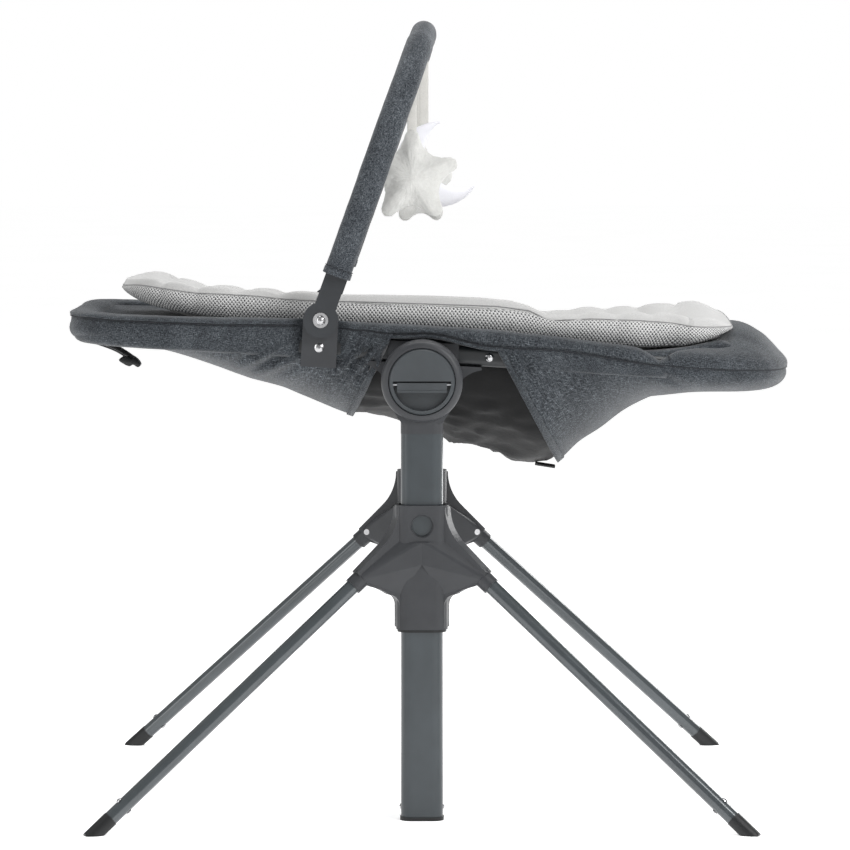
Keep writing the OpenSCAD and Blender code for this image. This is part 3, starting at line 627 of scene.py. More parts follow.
HEAD_FLAT, FOOT_FLAT = HALF - HEAD_CORNER, HALF - FOOT_CORNER
HEAD_ARC, FOOT_ARC = HEAD_CORNER * math.pi / 2, FOOT_CORNER * math.pi / 2
SIDE_START = HEAD_FLAT + HEAD_ARC
SIDE_END = SIDE_START + FOOT_U - HEAD_U
RING_HALF = SIDE_END + FOOT_ARC + FOOT_FLAT


def ring(s, n=0.0):
    """(u, v, normal) at s from the head's middle, n outside the frame tube; s > 0 is the baby's right."""
    d, sign = abs(s), -1 if s > 0 else 1
    if d < HEAD_FLAT:
        u, v, normal = -HEAD, d, (-1, 0)
    elif d < SIDE_START:
        a = (d - HEAD_FLAT) / HEAD_CORNER
        normal = (-math.cos(a), math.sin(a))
        u, v = HEAD_U + HEAD_CORNER * normal[0], HEAD_FLAT + HEAD_CORNER * normal[1]
    elif d < SIDE_END:
        u, v, normal = HEAD_U + d - SIDE_START, HALF, (0, 1)
    elif d < SIDE_END + FOOT_ARC:
        a = (d - SIDE_END) / FOOT_CORNER
        normal = (math.sin(a), math.cos(a))
        u, v = FOOT_U + FOOT_CORNER * normal[0], FOOT_FLAT + FOOT_CORNER * normal[1]
    else:
        u, v, normal = FOOT, FOOT_FLAT - (d - SIDE_END - FOOT_ARC), (1, 0)
    return u + n * normal[0], sign * (v + n * normal[1]), (normal[0], sign * normal[1])


def side_s(u):
    """Distance along the ring at u on the frame's straight side."""
    return SIDE_START + u - HEAD_U


def spread(a, b, step):
    count = max(2, round(abs(b - a) / step))
    return [lerp(a, b, k / count) for k in range(count + 1)]


SEAM = [(-400, 43), (-296, 44.5), (-224, 46), (-134, 49.5), (-60, 48.5), (-37, 46.5), (-18, 47), (0, 49),
        (20, 47.8), (45, 43),
        (70, 39.6), (150, 39), (200, 34.5), (224, 31.5), (255, 29), (290, 27.5), (340, 27.5), (370, 29.5),
        (400, 35)]
CROWN = [(-400, 50), (-300, 50.5), (-224, 53), (-130, 56.5), (50, 56.5), (135, 53.3), (190, 49.5), (229, 46),
         (246, 38), (262, 27)]
BELLY = [(-379, 14), (-340, 13.5), (-294, 11.5), (-265, 5.5), (-225, -7), (-189, -19), (-153, -27.5),
         (-132, -35.5), (-75, -55.5),
         (-21, -65.5), (31, -82), (76, -90), (118, -102.5), (145, -101), (158, -94), (179, -71.5),
         (203, -53.5),
         (226, -33), (250, -16.5), (271, -5.5), (299, -3.5), (340, -3), (400, -2)]
BOXY = [(-368, 4.5), (-300, 4.0), (-220, 2.9), (-132, 2.3), (-35, 2.0), (76, 1.9), (180, 1.9), (250, 2.2),
        (320, 3.0), (400, 3.2)]


def seam_w(u):
    return curve(u, SEAM)


def outer_n(u):
    """How far the cover's outside stands from the middle of the frame tube."""
    return 16.3 + 1.8 * smooth(-312, -368, u) + 3.2 * smooth(264, 374, u)


# ---------- Rim: padding over the frame tube ----------

RIM_SECTION = closed_curve([(15.2, 43.3), (17.0, 45.4), (16.6, 49.5), (12.5, 54.4), (4, 56.5), (-5, 55.8),
                            (-11.5, 51.5),
                            (-14, 43), (-13.8, 30), (-12.5, 18), (-2, 14.5), (8.5, 17), (13.2, 26),
                            (14.8, 36)], 4)


def hub_gap(u):
    """1 over the hub, where the cover leaves the frame bare, and 0 elsewhere."""
    return smooth(-78, -62, u) * smooth(92, 76, u)


BRACKET_U = -112


def behind_plate(u, v):
    """Pulls cloth in to the frame tube where a toy bar bracket is clamped over it."""
    pinch = smooth(33, 21, abs(u - BRACKET_U))
    return math.copysign(lerp(abs(v), min(abs(v), HALF + 6.2), pinch), v)


def rim_point(s, n, w):
    u, v, _ = ring(s, n + (outer_n(ring(s)[0]) - 16.3) * smooth(0, 15, n))
    v = behind_plate(u, v)
    at = ring(s)[0]
    seam, crown = seam_w(at), curve(at, CROWN)
    if w > 43.3:
        high = seam + (w - 43.3) * (crown - seam) / 13.2
    else:
        high = lerp(14.5 + (w - 14.5) * (seam - 14.5) / 28.8, seam - 3.5 + (w - 14.5) * 0.12, hub_gap(at))
    puff = ripple(u, v, high, 46, 1.0) * 0.9 + ripple(u, v, high, 17, 2.0) * 0.35
    return seat(u, v, high + puff * (0.4 if w < 40 else 1.0))


def make_rim():
    end = side_s(261)
    rows = [[rim_point(s, *p) for p in RIM_SECTION] for s in spread(-end, end, 7)]
    rim = outward(grid("rim_padding", rows, MELANGE, loop_cols=True, ends=True))
    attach(rim, "seat")
    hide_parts("seat_rim")


# ---------- Cover: the outer skirts, from the seam round under the seat ----------

REAR_HEM, FRONT_HEM = (-34, -40), (77, 80)


def spine_u(s):
    """Where the cloth at s on the ring meets the seat's centre line underneath."""
    u = ring(s)[0]
    if abs(s) < SIDE_START:
        return HEAD_U - 46 * (1 - abs(s) / SIDE_START) ** 0.8
    if abs(s) > SIDE_END:
        return FOOT_U + 88 * ((abs(s) - SIDE_END) / (RING_HALF - SIDE_END)) ** 0.8
    return u


def gather(u, w, side):
    """Folds of the skirts, in millimetres outwards."""
    drop = clamp((44 - w) / 60)
    fan = 0.0
    bunch = math.exp(-(((u + 66) / 24) ** 2) - ((w - 20) / 28) ** 2)
    fan += 9.0 * bunch * math.sin(0.42 * (0.78 * u - 0.62 * w) + 1.5 * ripple(u, w, side, 45))
    pull = math.exp(-(((u + 166) / 36) ** 2) - ((w - 8 - 0.35 * (u + 166)) / 24) ** 2)
    fan += 8.0 * pull * math.sin(0.34 * (0.55 * u - 0.83 * w) + 1.2 * ripple(u, w, side, 50))
    fan += 1.6 * smooth(-120, -70, u) * smooth(-30, -50, u) * math.sin(0.3 * (u + 0.6 * w)) * smooth(0.2, 0.6,
                                                                                                     drop)
    front = math.exp(-(((u - 100) / 22) ** 2) - ((w - 22) / 26) ** 2)
    fan += 5.5 * front * math.sin(0.4 * (0.85 * u + 0.5 * w) + 1.0)
    corner = (u - 226) * 0.42 + (w - 31)
    fold = math.exp(-((corner / 5.0) ** 2)) * smooth(214, 236, u) * smooth(300, 270, u)
    fan -= 4.6 * fold
    soft = 2.2 * ripple(u, w, side * 3, 75, 4.0) + 0.9 * ripple(u, w, side * 3, 28, 5.0)
    return fan + soft * smooth(0, 0.25, drop)


def skirt_point(s, t, hem, extra=0.0):
    """A point of a skirt: t is 0 at the rim's seam and 1 on the centre line underneath."""
    at, _, normal = ring(s)
    n0 = outer_n(at) + extra
    u0, v0, _ = ring(s, n0)
    a = t * math.pi / 2
    shape = curve(at, BOXY)
    h, g = 1 - math.cos(a) ** (2 / shape), math.sin(a) ** (2 / shape)
    top, slant = hem
    near = 1 - smooth(0, 210 if slant > 0 else 150, abs(at - top))
    shift = near * slant * g
    u_low = spine_u(s)
    top_w = seam_w(at) - 0.4
    low_w = curve(u_low + near * slant, BELLY) - extra
    u, v = lerp(u0, u_low, h) + shift, lerp(v0, 0, h)
    w = lerp(top_w, low_w, g)
    out = gather(u, w, -1 if v < 0 else 1) * (1 - h) * smooth(0, 0.12, t)
    tuck = -1.2 * (1 - smooth(0, 0.05, t))
    return seat(u + (out + tuck) * normal[0], behind_plate(u, v + (out + tuck) * normal[1]), w)


def skirt_rows(hem, first, last, step=4.5, count=52):
    """Rows of a skirt across the seat, from one side's seam under the belly to the other's."""
    rows = []
    for s in spread(first, last, step):
        rows.append([skirt_point(s, (k / count) ** 1.15, hem) for k in range(count + 1)])
    return rows


def make_skirt(name, rows):
    return merge(grid(name, rows, MELANGE))


def cloth_area(piece):
    return sum(p.area for p in piece.data.polygons)


def finish_skirt(skirt, node, hem, turned):
    thicken(skirt, 1.3)
    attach(skirt, "seat")
    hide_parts(node)
    for side in (-1, 1):
        label = "right" if side < 0 else "left"
        s = -side * side_s(hem[0])
        inner = -side * side_s(hem[0] + turned)
        spots = [(k / 60) ** 1.15 for k in range(61)]
        edge = [skirt_point(s, t, hem, 0.7) for t in spots]
        lapped = [skirt_point(inner, t, hem, 0.7) for t in spots]
        rows = [edge, [a.lerp(b, 0.5) for a, b in zip(edge, lapped)], lapped]
        band = thicken(grid(f"{skirt.name}_hem_{label}", rows, MELANGE, uv_start=(0.5, 0.3)), 1.9, 0.0)
        row = [a.lerp(b, 0.82) for a, b in zip(edge, lapped)]
        outs = [Vector((0, side, -0.4)).normalized()] * len(row)
        sewn = stitches(f"{skirt.name}_stitches_{label}", row, outs, THREAD, radius=0.5)
        for piece in (band, sewn):
            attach(piece, "seat")


def seam_line(name, first, last, n, drop, radius, material):
    path = []
    for s in spread(first, last, 5):
        at = ring(s)[0]
        u, v, _ = ring(s, n + outer_n(at) - 16.3)
        path.append(seat(u, behind_plate(u, v), seam_w(at) - drop))
    piece = cord_mesh(name, path, radius, material)
    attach(piece, "seat")
    return piece


make_rim()
rear_end = side_s(REAR_HEM[0])
front_start = side_s(FRONT_HEM[0])
rear = make_skirt("cover_skirt_rear", skirt_rows(REAR_HEM, -rear_end, rear_end))
front_rows_right = skirt_rows(FRONT_HEM, front_start, RING_HALF)
front_rows_left = skirt_rows(FRONT_HEM, -RING_HALF, -front_start)
front = make_skirt("cover_skirt_front", front_rows_right + front_rows_left)
finish_skirt(rear, "cover_rear", REAR_HEM, -7)
finish_skirt(front, "cover_front", FRONT_HEM, 7)
seam_line("rim_seam_rear", -rear_end, rear_end, 16.2, 0.5, 0.55, THREAD)
seam_line("rim_seam_right", side_s(-34), side_s(255), 16.4, 0.5, 0.55, THREAD)
seam_line("rim_seam_left", -side_s(-34), -side_s(255), 16.4, 0.5, 0.55, THREAD)
for label, sign in (("right", 1), ("left", -1)):
    seam_line(f"rim_binding_{label}", sign * side_s(-68), sign * side_s(84), 15.2, 3.0, 2.3, MELANGE)

# ---------- Foot pocket: the padded end that covers the frame's foot ----------

POCKET_FOOT = [(19.4, 23), (20.0, 29), (16.5, 37.5), (10, 46), (1, 55), (-9, 63), (-24, 69.5), (-40, 71),
               (-58, 67),
               (-78, 57), (-98, 48), (-112, 40), (-100, 28), (-70, 22), (-35, 20), (0, 20), (14, 21)]
POCKET_SIDE = [(16.2, 26), (17.2, 31), (15.0, 37), (10, 42), (3, 45), (-5, 46.5), (-16, 47), (-30, 45),
               (-45, 42),
               (-60, 39), (-76, 36), (-90, 33), (-84, 27), (-60, 22), (-30, 20), (0, 20), (12, 22)]


def pocket_point(s, q, shape):
    """A point of the pocket: q counts round its section."""
    along = smooth(side_s(FOOT_U) + FOOT_ARC * 0.25, side_s(FOOT_U) + FOOT_ARC, abs(s))
    n, w = (lerp(a, b, along) for a, b in zip(shape[0][q], shape[1][q]))
    at = ring(s)[0]
    inward = 34 * smooth(8, -18, n)
    start = smooth(side_s(250) + inward * 0.5, side_s(272) + inward, abs(s))
    if w > 27:
        w = 27 + (w - 27) * (0.12 + 0.88 * start ** 0.7)
    w += (seam_w(at) - 26) * smooth(48, 26, w)
    puff = ripple(at, s, w, 60, 8.0) * 1.3 + ripple(at, s, w, 21, 9.0) * 0.4
    u, v, normal = ring(s, n)
    bulge = puff * smooth(18, 34, w)
    return seat(u + bulge * normal[0] * 0.6, v + bulge * normal[1] * 0.6, w + bulge * 0.8)


def make_pocket():
    shape = closed_curve(POCKET_SIDE, 4), closed_curve(POCKET_FOOT, 4)
    shape = [[tuple(p) for p in outline] for outline in shape]
    first = side_s(250)
    stations = spread(first, RING_HALF, 6)
    stations += [-s for s in stations[-2::-1]]
    rows = [[pocket_point(s, q, shape) for q in range(len(shape[0]))] for s in stations]
    pocket = outward(grid("foot_pocket", rows, MELANGE, loop_cols=True, ends=True))
    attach(pocket, "seat")
    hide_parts("foot_pad")
    path = [pocket_point(s, 0, shape) for s in stations]
    path = [p + (p - seat(FOOT_U, 0, 26)).normalized() * 0.0004 for p in path]
    seams = [cord_mesh("foot_seam", path, 0.55, THREAD)]
    for label, side in (("right", 1), ("left", -1)):
        valley = []
        for q in range(6, 27):
            n = lerp(shape[0][q][0], shape[1][q][0], 0.05)
            s = side_s(262) + 34 * smooth(8, -18, n)
            valley.append(pocket_point(side * s, q, shape) + seat(0, 0, 0.5) - seat(0, 0, 0))
        seams.append(cord_mesh(f"notch_seam_{label}", valley, 0.7, THREAD))
    for seam in seams:
        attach(seam, "seat")


# ---------- Insert: the light padded liner, jersey on top and spacer mesh round its side ----------

INSERT_FROM, INSERT_TO, INSERT_HALF = -336, 338, 165
BASE_CROWN = [(-336, 83), (-312, 87), (-255, 80), (-186, 77), (-78, 77.7), (-24, 78.2), (20, 79.3),
              (36, 82.3), (72, 83.8),
              (90, 83.3), (107, 80), (120, 75), (135, 70.5), (150, 72), (172, 75.5), (226, 78.5), (262, 81.4),
              (297, 82), (316, 82), (338, 75)]
SIDE_LIFT = [(-336, 0), (-312, 1), (-255, 4.5), (-78, 6.3), (107, 6), (172, 4), (226, 3.3), (262, 1),
             (297, -3), (338, -6)]
BASE_SEAM = [(-336, 75), (-312, 77.5), (-255, 70.5), (-200, 70.5), (-132, 68), (-78, 69.6), (-24, 69.3),
             (18, 71.5), (63, 72.7),
             (107, 72.2), (133, 63), (144, 63.5), (172, 67.5), (226, 69.5), (280, 71.5), (302, 72.5),
             (331, 75), (338, 74)]
WALL_FOOT = [(-336, 70), (-326, 63), (-298, 55.5), (-255, 50), (-200, 46), (60, 46), (133, 44), (231, 43),
             (270, 46.5), (302, 53.5), (320, 59), (338, 67)]
SAG = [(-334, 4), (-250, 16), (-100, 50), (60, 88), (110, 92), (160, 80), (240, 40), (300, 12), (338, 3)]
OVAL_U, OVAL_LONG, OVAL_WIDE = 10, 285, 112
TOP_EDGE = 0.125
QUILTS = (-289, -250, -205, -160, -108, -56, -18, 12, 37, 67, 133, 166, 205, 245, 284)


def insert_outline(q):
    """The insert's edge in plan at angle q, and the direction outwards there."""
    def at(a):
        c, s = math.cos(a), math.sin(a)
        middle, half = (INSERT_TO + INSERT_FROM) / 2, (INSERT_TO - INSERT_FROM) / 2
        waist = 1 - 0.06 * math.exp(-((middle + half * c - 133) / 26) ** 2)
        square = smooth(-0.5, 0.5, c)
        long, wide = lerp(0.42, 0.24, square), lerp(0.62, 0.42, square)
        return Vector((middle + half * math.copysign(abs(c) ** long, c),
                       INSERT_HALF * math.copysign(abs(s) ** wide, s) * waist, 0))
    p, ahead = at(q), at(q + 0.004) - at(q - 0.004)
    return p.x, p.y, Vector((ahead.y, -ahead.x, 0)).normalized()


def side_lift(u, v):
    return curve(u, SIDE_LIFT) * clamp(abs(v) / 150) * (-1 if v > 0 else 1)


def on_spine(u):
    """The place on the middle line that a section of the insert or the lining at u starts from."""
    return clamp((u + 200) / 420) * 420 - 200


def oval(u, v):
    """1 on the insert's oval channel, less inside it and more outside."""
    return math.hypot((u - OVAL_U) / OVAL_LONG, v / OVAL_WIDE)


def quilt(u, v):
    """Depth of the sewn channels and the puff between them."""
    near = min(abs(u - q) for q in QUILTS)
    tuck = -3.6 * math.exp(-((near / 4.0) ** 2)) + 2.0 * smooth(4, 18, near)
    inner = abs(oval(u, v) - 1) * OVAL_WIDE
    return tuck * (0.55 + 0.45 * smooth(60, 120, abs(v))) - 2.4 * math.exp(-((inner / 3.0) ** 2))


def insert_height(u, v, edge=None):
    """The insert's top surface away from its rolled edge."""
    half = max(40, INSERT_HALF * max(0, 1 - abs((u - 1) / 339) ** 6) ** 0.4)
    q = min(1, abs(v) / half)
    crown = curve(u, BASE_CROWN) if edge is None else edge
    return crown + side_lift(u, v) - curve(u, SAG) * (1 - q * q) ** 1.3


def top_stations(edge, centre):
    """Places along a section of the top, from 1 at the centre to TOP_EDGE, closest over the oval channel."""
    low, high = TOP_EDGE, 1.0
    for _ in range(20):
        middle = (low + high) / 2
        p = edge.lerp(centre, middle)
        low, high = (middle, high) if oval(p.x, p.y) > 1 else (low, middle)
    step = 3 / (edge - centre).length
    stations = [lerp(1.0, low + 3 * step, t) for t in (0, 0.3, 0.55, 0.78)]
    stations += [low + k * step for k in (2, 1, 0, -1, -2)]
    return stations + [lerp(low - 3 * step, TOP_EDGE, t) for t in (0, 0.35, 0.7, 1.0)]


def insert_row(q):
    """One section of the insert, from the middle of its top out over the edge and back underneath."""
    x, y, out = insert_outline(q)
    seam = curve(x, BASE_SEAM) + side_lift(x, y)
    crown = curve(x, BASE_CROWN) + side_lift(x, y)
    foot = curve(x, WALL_FOOT) + 0.5 * side_lift(x, y)
    centre = Vector((on_spine(x), 0, 0))
    reach = (Vector((x, y, 0)) - centre).length
    pleat = min(abs(x - c) for c in QUILTS)
    pinch = (2.9 * math.exp(-((pleat / 4.2) ** 2)) - 0.9 * smooth(5, 18, pleat)) * smooth(0.5, 0.9,
                                                                                          abs(out.y))
    wave = 1.4 * ripple(x, y, 0, 55, 11.0) + 0.5 * ripple(x, y, 0, 19, 12.0)
    row = []
    for d in top_stations(Vector((x, y, 0)), centre):
        p = Vector((x, y, 0)).lerp(centre, d)
        w = insert_height(p.x, p.y) + quilt(p.x, p.y) + wave * 0.5 * (1 - d)
        row.append((p.x, p.y, w))
    last = row[-1][2]
    top_inset = TOP_EDGE * reach
    for d, high in ((top_inset * 0.72, 0.55), (top_inset * 0.48, 0.9), (top_inset * 0.3, 1.0),
                    (top_inset * 0.16, 0.92), (2.0, 0.62), (0.2, 0.25)):
        p = Vector((x, y, 0)) - out * (d + pinch * 0.6)
        peak = crown - pinch * 1.3 + wave
        base = last if d > top_inset * 0.4 else seam
        row.append((p.x, p.y, lerp(base, peak, high)))
    seam_at = len(row)
    for k in range(8):
        t = k / 7
        belly = 2.6 * math.sin(math.pi * t) - 9 * t * t
        p = Vector((x, y, 0)) + out * (belly + 0.2 - pinch * (1 - 0.4 * t)
                                       + 1.1 * ripple(x, y, t * 20, 30, 13.0))
        row.append((p.x, p.y, lerp(seam, foot, t)))
    for d in (0.12, 0.3, 0.6, 1.0):
        p = Vector((x, y, 0)).lerp(centre, d)
        under = min(insert_height(p.x, p.y) - 24, foot - 2 * d)
        row.append((p.x, p.y, under))
    return row, seam_at


def lay_wall(insert, rows, width, seam_at):
    """Lays the mesh side's weave level: its own length round the insert, and down from the seam."""
    along = [0.0]
    for a, b in zip(rows, rows[1:] + rows[:1]):
        along.append(along[-1] + (b[seam_at] - a[seam_at]).length)
    coords = insert.data.uv_layers.active.data
    for polygon in insert.data.polygons:
        i, j = divmod(polygon.index, width)
        if seam_at <= j < seam_at + 7:
            for corner in polygon.loop_indices:
                row, column = divmod(insert.data.loops[corner].vertex_index, width + 1)
                step = len(rows) if row == 0 and i == len(rows) - 1 else row
                coords[corner].uv = (along[step], (column - seam_at) * 0.0036)


def make_insert():
    count = 300
    rows, seam_at = [], 0
    for k in range(count):
        row, seam_at = insert_row(2 * math.pi * (k + 0.5) / count)
        rows.append([seat(*p) for p in row])
    insert = grid("insert_pad_soft", rows, JERSEY, loop_rows=True)
    insert.data.materials.append(MESH_CLOTH)
    width = len(rows[0]) - 1
    wall = [1 if seam_at <= k % width < seam_at + 7 else 0 for k in range(count * width)]
    insert.data.polygons.foreach_set("material_index", wall)
    lay_wall(insert, rows, width, seam_at)
    merge(insert, 0.00004)
    refine(insert)
    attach(insert, "seat")
    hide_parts("insert_pad")
    path = [row[seam_at - 1].lerp(row[seam_at], 0.5) for row in rows] + [rows[0][seam_at]]
    piping = cord_mesh("insert_piping", path, 0.55, PIPING)
    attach(piping, "seat")


# ---------- Lining: the seat's own hammock, and the black sling that hangs under it ----------


def make_hammock(name, material, drop, node, first, last, half, top, boxy, crease, thick):
    rows = []
    for u in spread(first, last, 5):
        row = []
        low = drop(u)
        for k in range(61):
            a = math.pi * k / 60
            c, s = math.cos(a), math.sin(a)
            shape = curve(u, boxy)
            v = -half(u) * math.copysign(abs(c) ** (2 / shape), c)
            w = top(u) - (top(u) - low) * abs(s) ** (2 / shape)
            out = crease(u, v, w)
            row.append(seat(u, v * (1 + out * abs(c) / max(60, abs(v))), w - out * s))
        rows.append(row)
    piece = merge(grid(name, rows, material))
    area = cloth_area(piece)
    thicken(piece, thick)
    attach(piece, "seat")
    if node:
        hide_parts(node)
    return piece, area


def ridge(x, sharp):
    """Noise turned into sharp-crested folds, from 0 to 1."""
    return (1 - abs(x)) ** sharp


def sling_crease(u, v, w):
    side = 3.0 if v > 0 else 0.0
    long = ridge(ripple(u * 0.22, w + 0.1 * u, side * 30, 15, 21.0), 3) * 7
    short = ridge(ripple(u * 0.5, w - 0.3 * u, side * 30, 24, 22.0), 2) * 4
    fine = 0.8 * ripple(u, v, w, 9, 23.0)
    return (long + short + fine - 8.5) * smooth(-12, -34,
                                                w) * (1 - 0.5 * smooth(90, 130, u)) + 1.2 * ripple(u, v, w,
                                                                                                   40, 24.0)


def make_sling():
    piece, area = make_hammock(
        "sling_black", BLACK_CLOTH, lambda u: curve(u, BELLY) + 4.0 + 1.5 * smooth(90, 150, u), "sling", -150,
        160, lambda u: 166, lambda u: 22,
        [(-150, 2.6), (-60, 2.1), (60, 1.9), (160, 1.8)], sling_crease, 1.0)


def make_deck():
    rows = []
    for s in spread(-RING_HALF, RING_HALF, 9)[:-1]:
        at = ring(s)[0]
        row = []
        inner = lerp(curve(at, CROWN) - 5, 42, smooth(side_s(205), side_s(235), abs(s)))
        u1, v1, _ = ring(s, -9)
        centre = on_spine(u1)
        for t in (0, 0.05, 0.12, 0.2, 0.3, 0.45, 0.6, 0.8, 1.0):
            u, v = lerp(u1, centre, t), lerp(v1, 0, t)
            low = min(inner, insert_height(u, v) - 31)
            w = lerp(inner, low, smooth(0.03, 0.4, t)) - 3 * smooth(0, 0.12, t)
            cradle = smooth(side_s(196), side_s(226), abs(s)) * smooth(side_s(FOOT_U) + 150,
                                                                       side_s(FOOT_U) + 90, abs(s))
            w = lerp(w, curve(u, WALL_FOOT) - 1.5 - 9 * smooth(0.05, 0, t), cradle * smooth(0.34, 0.2, t))
            row.append(seat(u, v, w + 0.8 * ripple(u, v, w, 45, 31.0)))
        rows.append(row)
    deck = merge(grid("seat_deck", rows, MELANGE, loop_rows=True), 0.00004)
    thicken(deck, 1.5)
    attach(deck, "seat")


# ---------- Harness and straps ----------


def strap(name, path, across, thick, material, body="seat"):
    """A flat strap along a path; across gives half the strap's width as a vector in metres."""
    rows = []
    for k, (p, t) in enumerate(zip(path, frames(path))):
        side = across(k / (len(path) - 1)) if callable(across) else across
        up = t.cross(side).normalized() * thick / 2000
        rows.append([p - side - up * 0.4, p - side * 0.94 + up, p + up * 1.15, p + side * 0.94 + up,
                     p + side + up * 0.4,
                     p + side - up * 0.4, p + side * 0.94 - up, p - up * 1.15, p - side * 0.94 - up,
                     p - side + up * 0.4])
    piece = outward(grid(name, rows, material, loop_cols=True, ends=True))
    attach(piece, body)
    return piece


BUCKLE_U = 62


def harness_strap(name, a, b, width):
    (ua, va), (ub, vb) = a, b
    run = Vector((ub - ua, vb - va, 0)).normalized()
    side = Vector((-run.y, run.x, 0)) * width / 2
    path, across = [], seat(side.x, side.y, 0) - seat(0, 0, 0)
    for t in spread(0, 1, 0.05):
        u, v = lerp(ua, ub, t), lerp(va, vb, t)
        hump = 4.0 * math.sin(math.pi * t) ** 1.5
        sink = 9 * smooth(0.82, 1.0, t) if ub == 150 else 9 * smooth(0.18, 0.0, t)
        high = max(insert_height(u + k * side.x, v + k * side.y) for k in (-1, 0, 1))
        path.append(seat(u, v, high + 4.0 + hump - sink))
    return strap(name, path, across, 1.7, WEB)


def make_harness():
    crotch = harness_strap("strap_crotch", (BUCKLE_U + 20, 0), (150, 0), 25)
    right = harness_strap("strap_right", (20, -118), (BUCKLE_U - 12, -26), 20)
    left = harness_strap("strap_left", (20, 118), (BUCKLE_U - 12, 26), 20)
    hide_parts("harness_straps")


def make_head_strap():
    line = [(-380, 15.5), (-366, 13), (-352, 9.5), (-338, 5), (-328, 0), (-320, -5)]
    path = [seat(u, -59, curve(u, line) + 0.8) for u in spread(-380, -320, 3)]
    band = strap("head_strap_band", path, Vector((0, 0.0125, 0)), 5.5, STRAP)
    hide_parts("head_strap")
    hook = closed_curve([(-12, -9.5), (-4, -4), (3, -5), (9, -9), (12, -14), (9, -16.5), (4, -14), (0, -16),
                         (-6, -14)], 4)
    rows = [[seat(-322 + x, -59 + y, z + 3.5) for x, z in hook] for y in (-12.5, -11.5, -6, 0, 6, 11.5, 12.5)]
    for k, scale in ((0, 0.86), (-1, 0.86)):
        middle = sum(rows[k], Vector()) / len(hook)
        rows[k] = [middle.lerp(p, scale) for p in rows[k]]
    tip = outward(grid("head_strap_hook", rows, BLACK_PLASTIC, loop_cols=True, ends=True))
    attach(tip, "seat")
    stub = strap("sling_stub", [seat(u, -18, -98.2 - 0.1 * (u - 139)) for u in spread(132, 154, 3)],
                 Vector((0, 0.009, 0)), 3.2, STRAP)


make_pocket()
PIPING = jersey("grey_piping", (0.26, 0.26, 0.262), uv=False)
make_insert()
make_sling()
make_deck()
make_harness()
make_head_strap()

# ---------- Toy bar sleeve ----------

SLEEVE_R, SLEEVE_LOW = 14.5, 50
ARCH_FOOT, ARCH_FLAT = BAR_REACH - BAR_CORNER, BAR_HALF - BAR_CORNER


def arch_at(d):
    """(v, h) and the outward normal on the arch, d from the end of its right-hand sleeve."""
    leg, arc = ARCH_FOOT - SLEEVE_LOW, BAR_CORNER * math.pi / 2
    if d < leg:
        return -BAR_HALF, SLEEVE_LOW + d, (-1, 0)
    if d < leg + arc:
        a = (d - leg) / BAR_CORNER
        return (-ARCH_FLAT - BAR_CORNER * math.cos(a), ARCH_FOOT + BAR_CORNER * math.sin(a),
                (-math.cos(a), math.sin(a)))
    half = leg + arc + ARCH_FLAT
    if d <= half:
        return -ARCH_FLAT + (d - leg - arc), BAR_REACH, (0, 1)
    v, h, (nv, nh) = arch_at(2 * half - d)
    return -v, h, (-nv, nh)


def make_sleeve():
    total = 2 * (ARCH_FOOT - SLEEVE_LOW + BAR_CORNER * math.pi / 2 + ARCH_FLAT)
    stations = [0, 0.6, 3, 7, 7.8] + spread(9, total - 9, 5) + [total - 7.8, total - 7, total - 3,
                                                                total - 0.6, total]
    sides = 36
    rows = []
    for d in stations:
        v, h, (nv, nh) = arch_at(d)
        from_end = min(d, total - d)
        band = 0.9 * smooth(0, 0.6, from_end) * (1 - smooth(7, 7.8, from_end))
        step = 0.9 * smooth(total * 0.5 - 150, total * 0.5 - 142, d) * smooth(total * 0.5 + 150,
                                                                              total * 0.5 + 142, d)
        row = []
        for k in range(sides):
            a = 2 * math.pi * k / sides
            n, out = math.sin(a), math.cos(a)
            inside = smooth(0.2, -0.8, out) * smooth(ARCH_FLAT + 100, ARCH_FLAT + 40,
                                                     abs(v)) * smooth(ARCH_FLAT - 10, ARCH_FLAT + 30, abs(v))
            r = SLEEVE_R + 0.3 + band - step + 0.6 * ripple(v, h, n * 20, 34, 41.0) + 0.25 * ripple(v, h,
                    n * 14, 11, 42.0)
            r += inside * 0.9 * math.sin(d * 0.42 + 2 * ripple(v, h, n, 60, 43.0))
            row.append(on_bar(n * r, v + out * nv * r, h + out * nh * r))
        rows.append(row)
    for k, at in ((0, 0), (-1, total)):
        v, h, _ = arch_at(at)
        middle = on_bar(0, v, h)
        inner = [middle.lerp(p, 0.86) for p in rows[k]]
        deep = [p + (on_bar(0, v, h + 5) - middle) for p in inner]
        if k == 0:
            rows = [deep, inner] + rows
        else:
            rows += [inner, deep]
    sleeve = outward(grid("toy_bar_sleeve_soft", rows, SLEEVE, loop_cols=True, ends=True))
    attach(sleeve, "toy_bar")
    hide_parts("toy_bar_sleeve")
    for label, at in (("right", 8.6), ("left", total - 8.6)):
        v, h, _ = arch_at(at)
        ringed = [on_bar(math.sin(a) * 15.1, v + math.cos(a) * 15.1, h) for a in spread(0, 2 * math.pi, 0.1)]
        normals = [on_bar(math.sin(a), math.cos(a), 0) - on_bar(0, 0, 0) for a in spread(0, 2 * math.pi, 0.1)]
        row = stitches(f"sleeve_stitches_{label}", ringed, [p.normalized() for p in normals], THREAD, 3.6,
                       2.4, 0.4)
        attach(row, "toy_bar")


# ---------- Toys ----------


def arch_height(v):
    return ARCH_FOOT + math.sqrt(BAR_CORNER**2 - max(0, abs(v) - ARCH_FLAT) ** 2)


def ribbon_top(v):
    bend = math.asin(max(0, abs(v) - ARCH_FLAT) / BAR_CORNER)
    return (SLEEVE_R + 1) / math.cos(bend) + 1.2 + 1.8 * math.degrees(bend) / 45


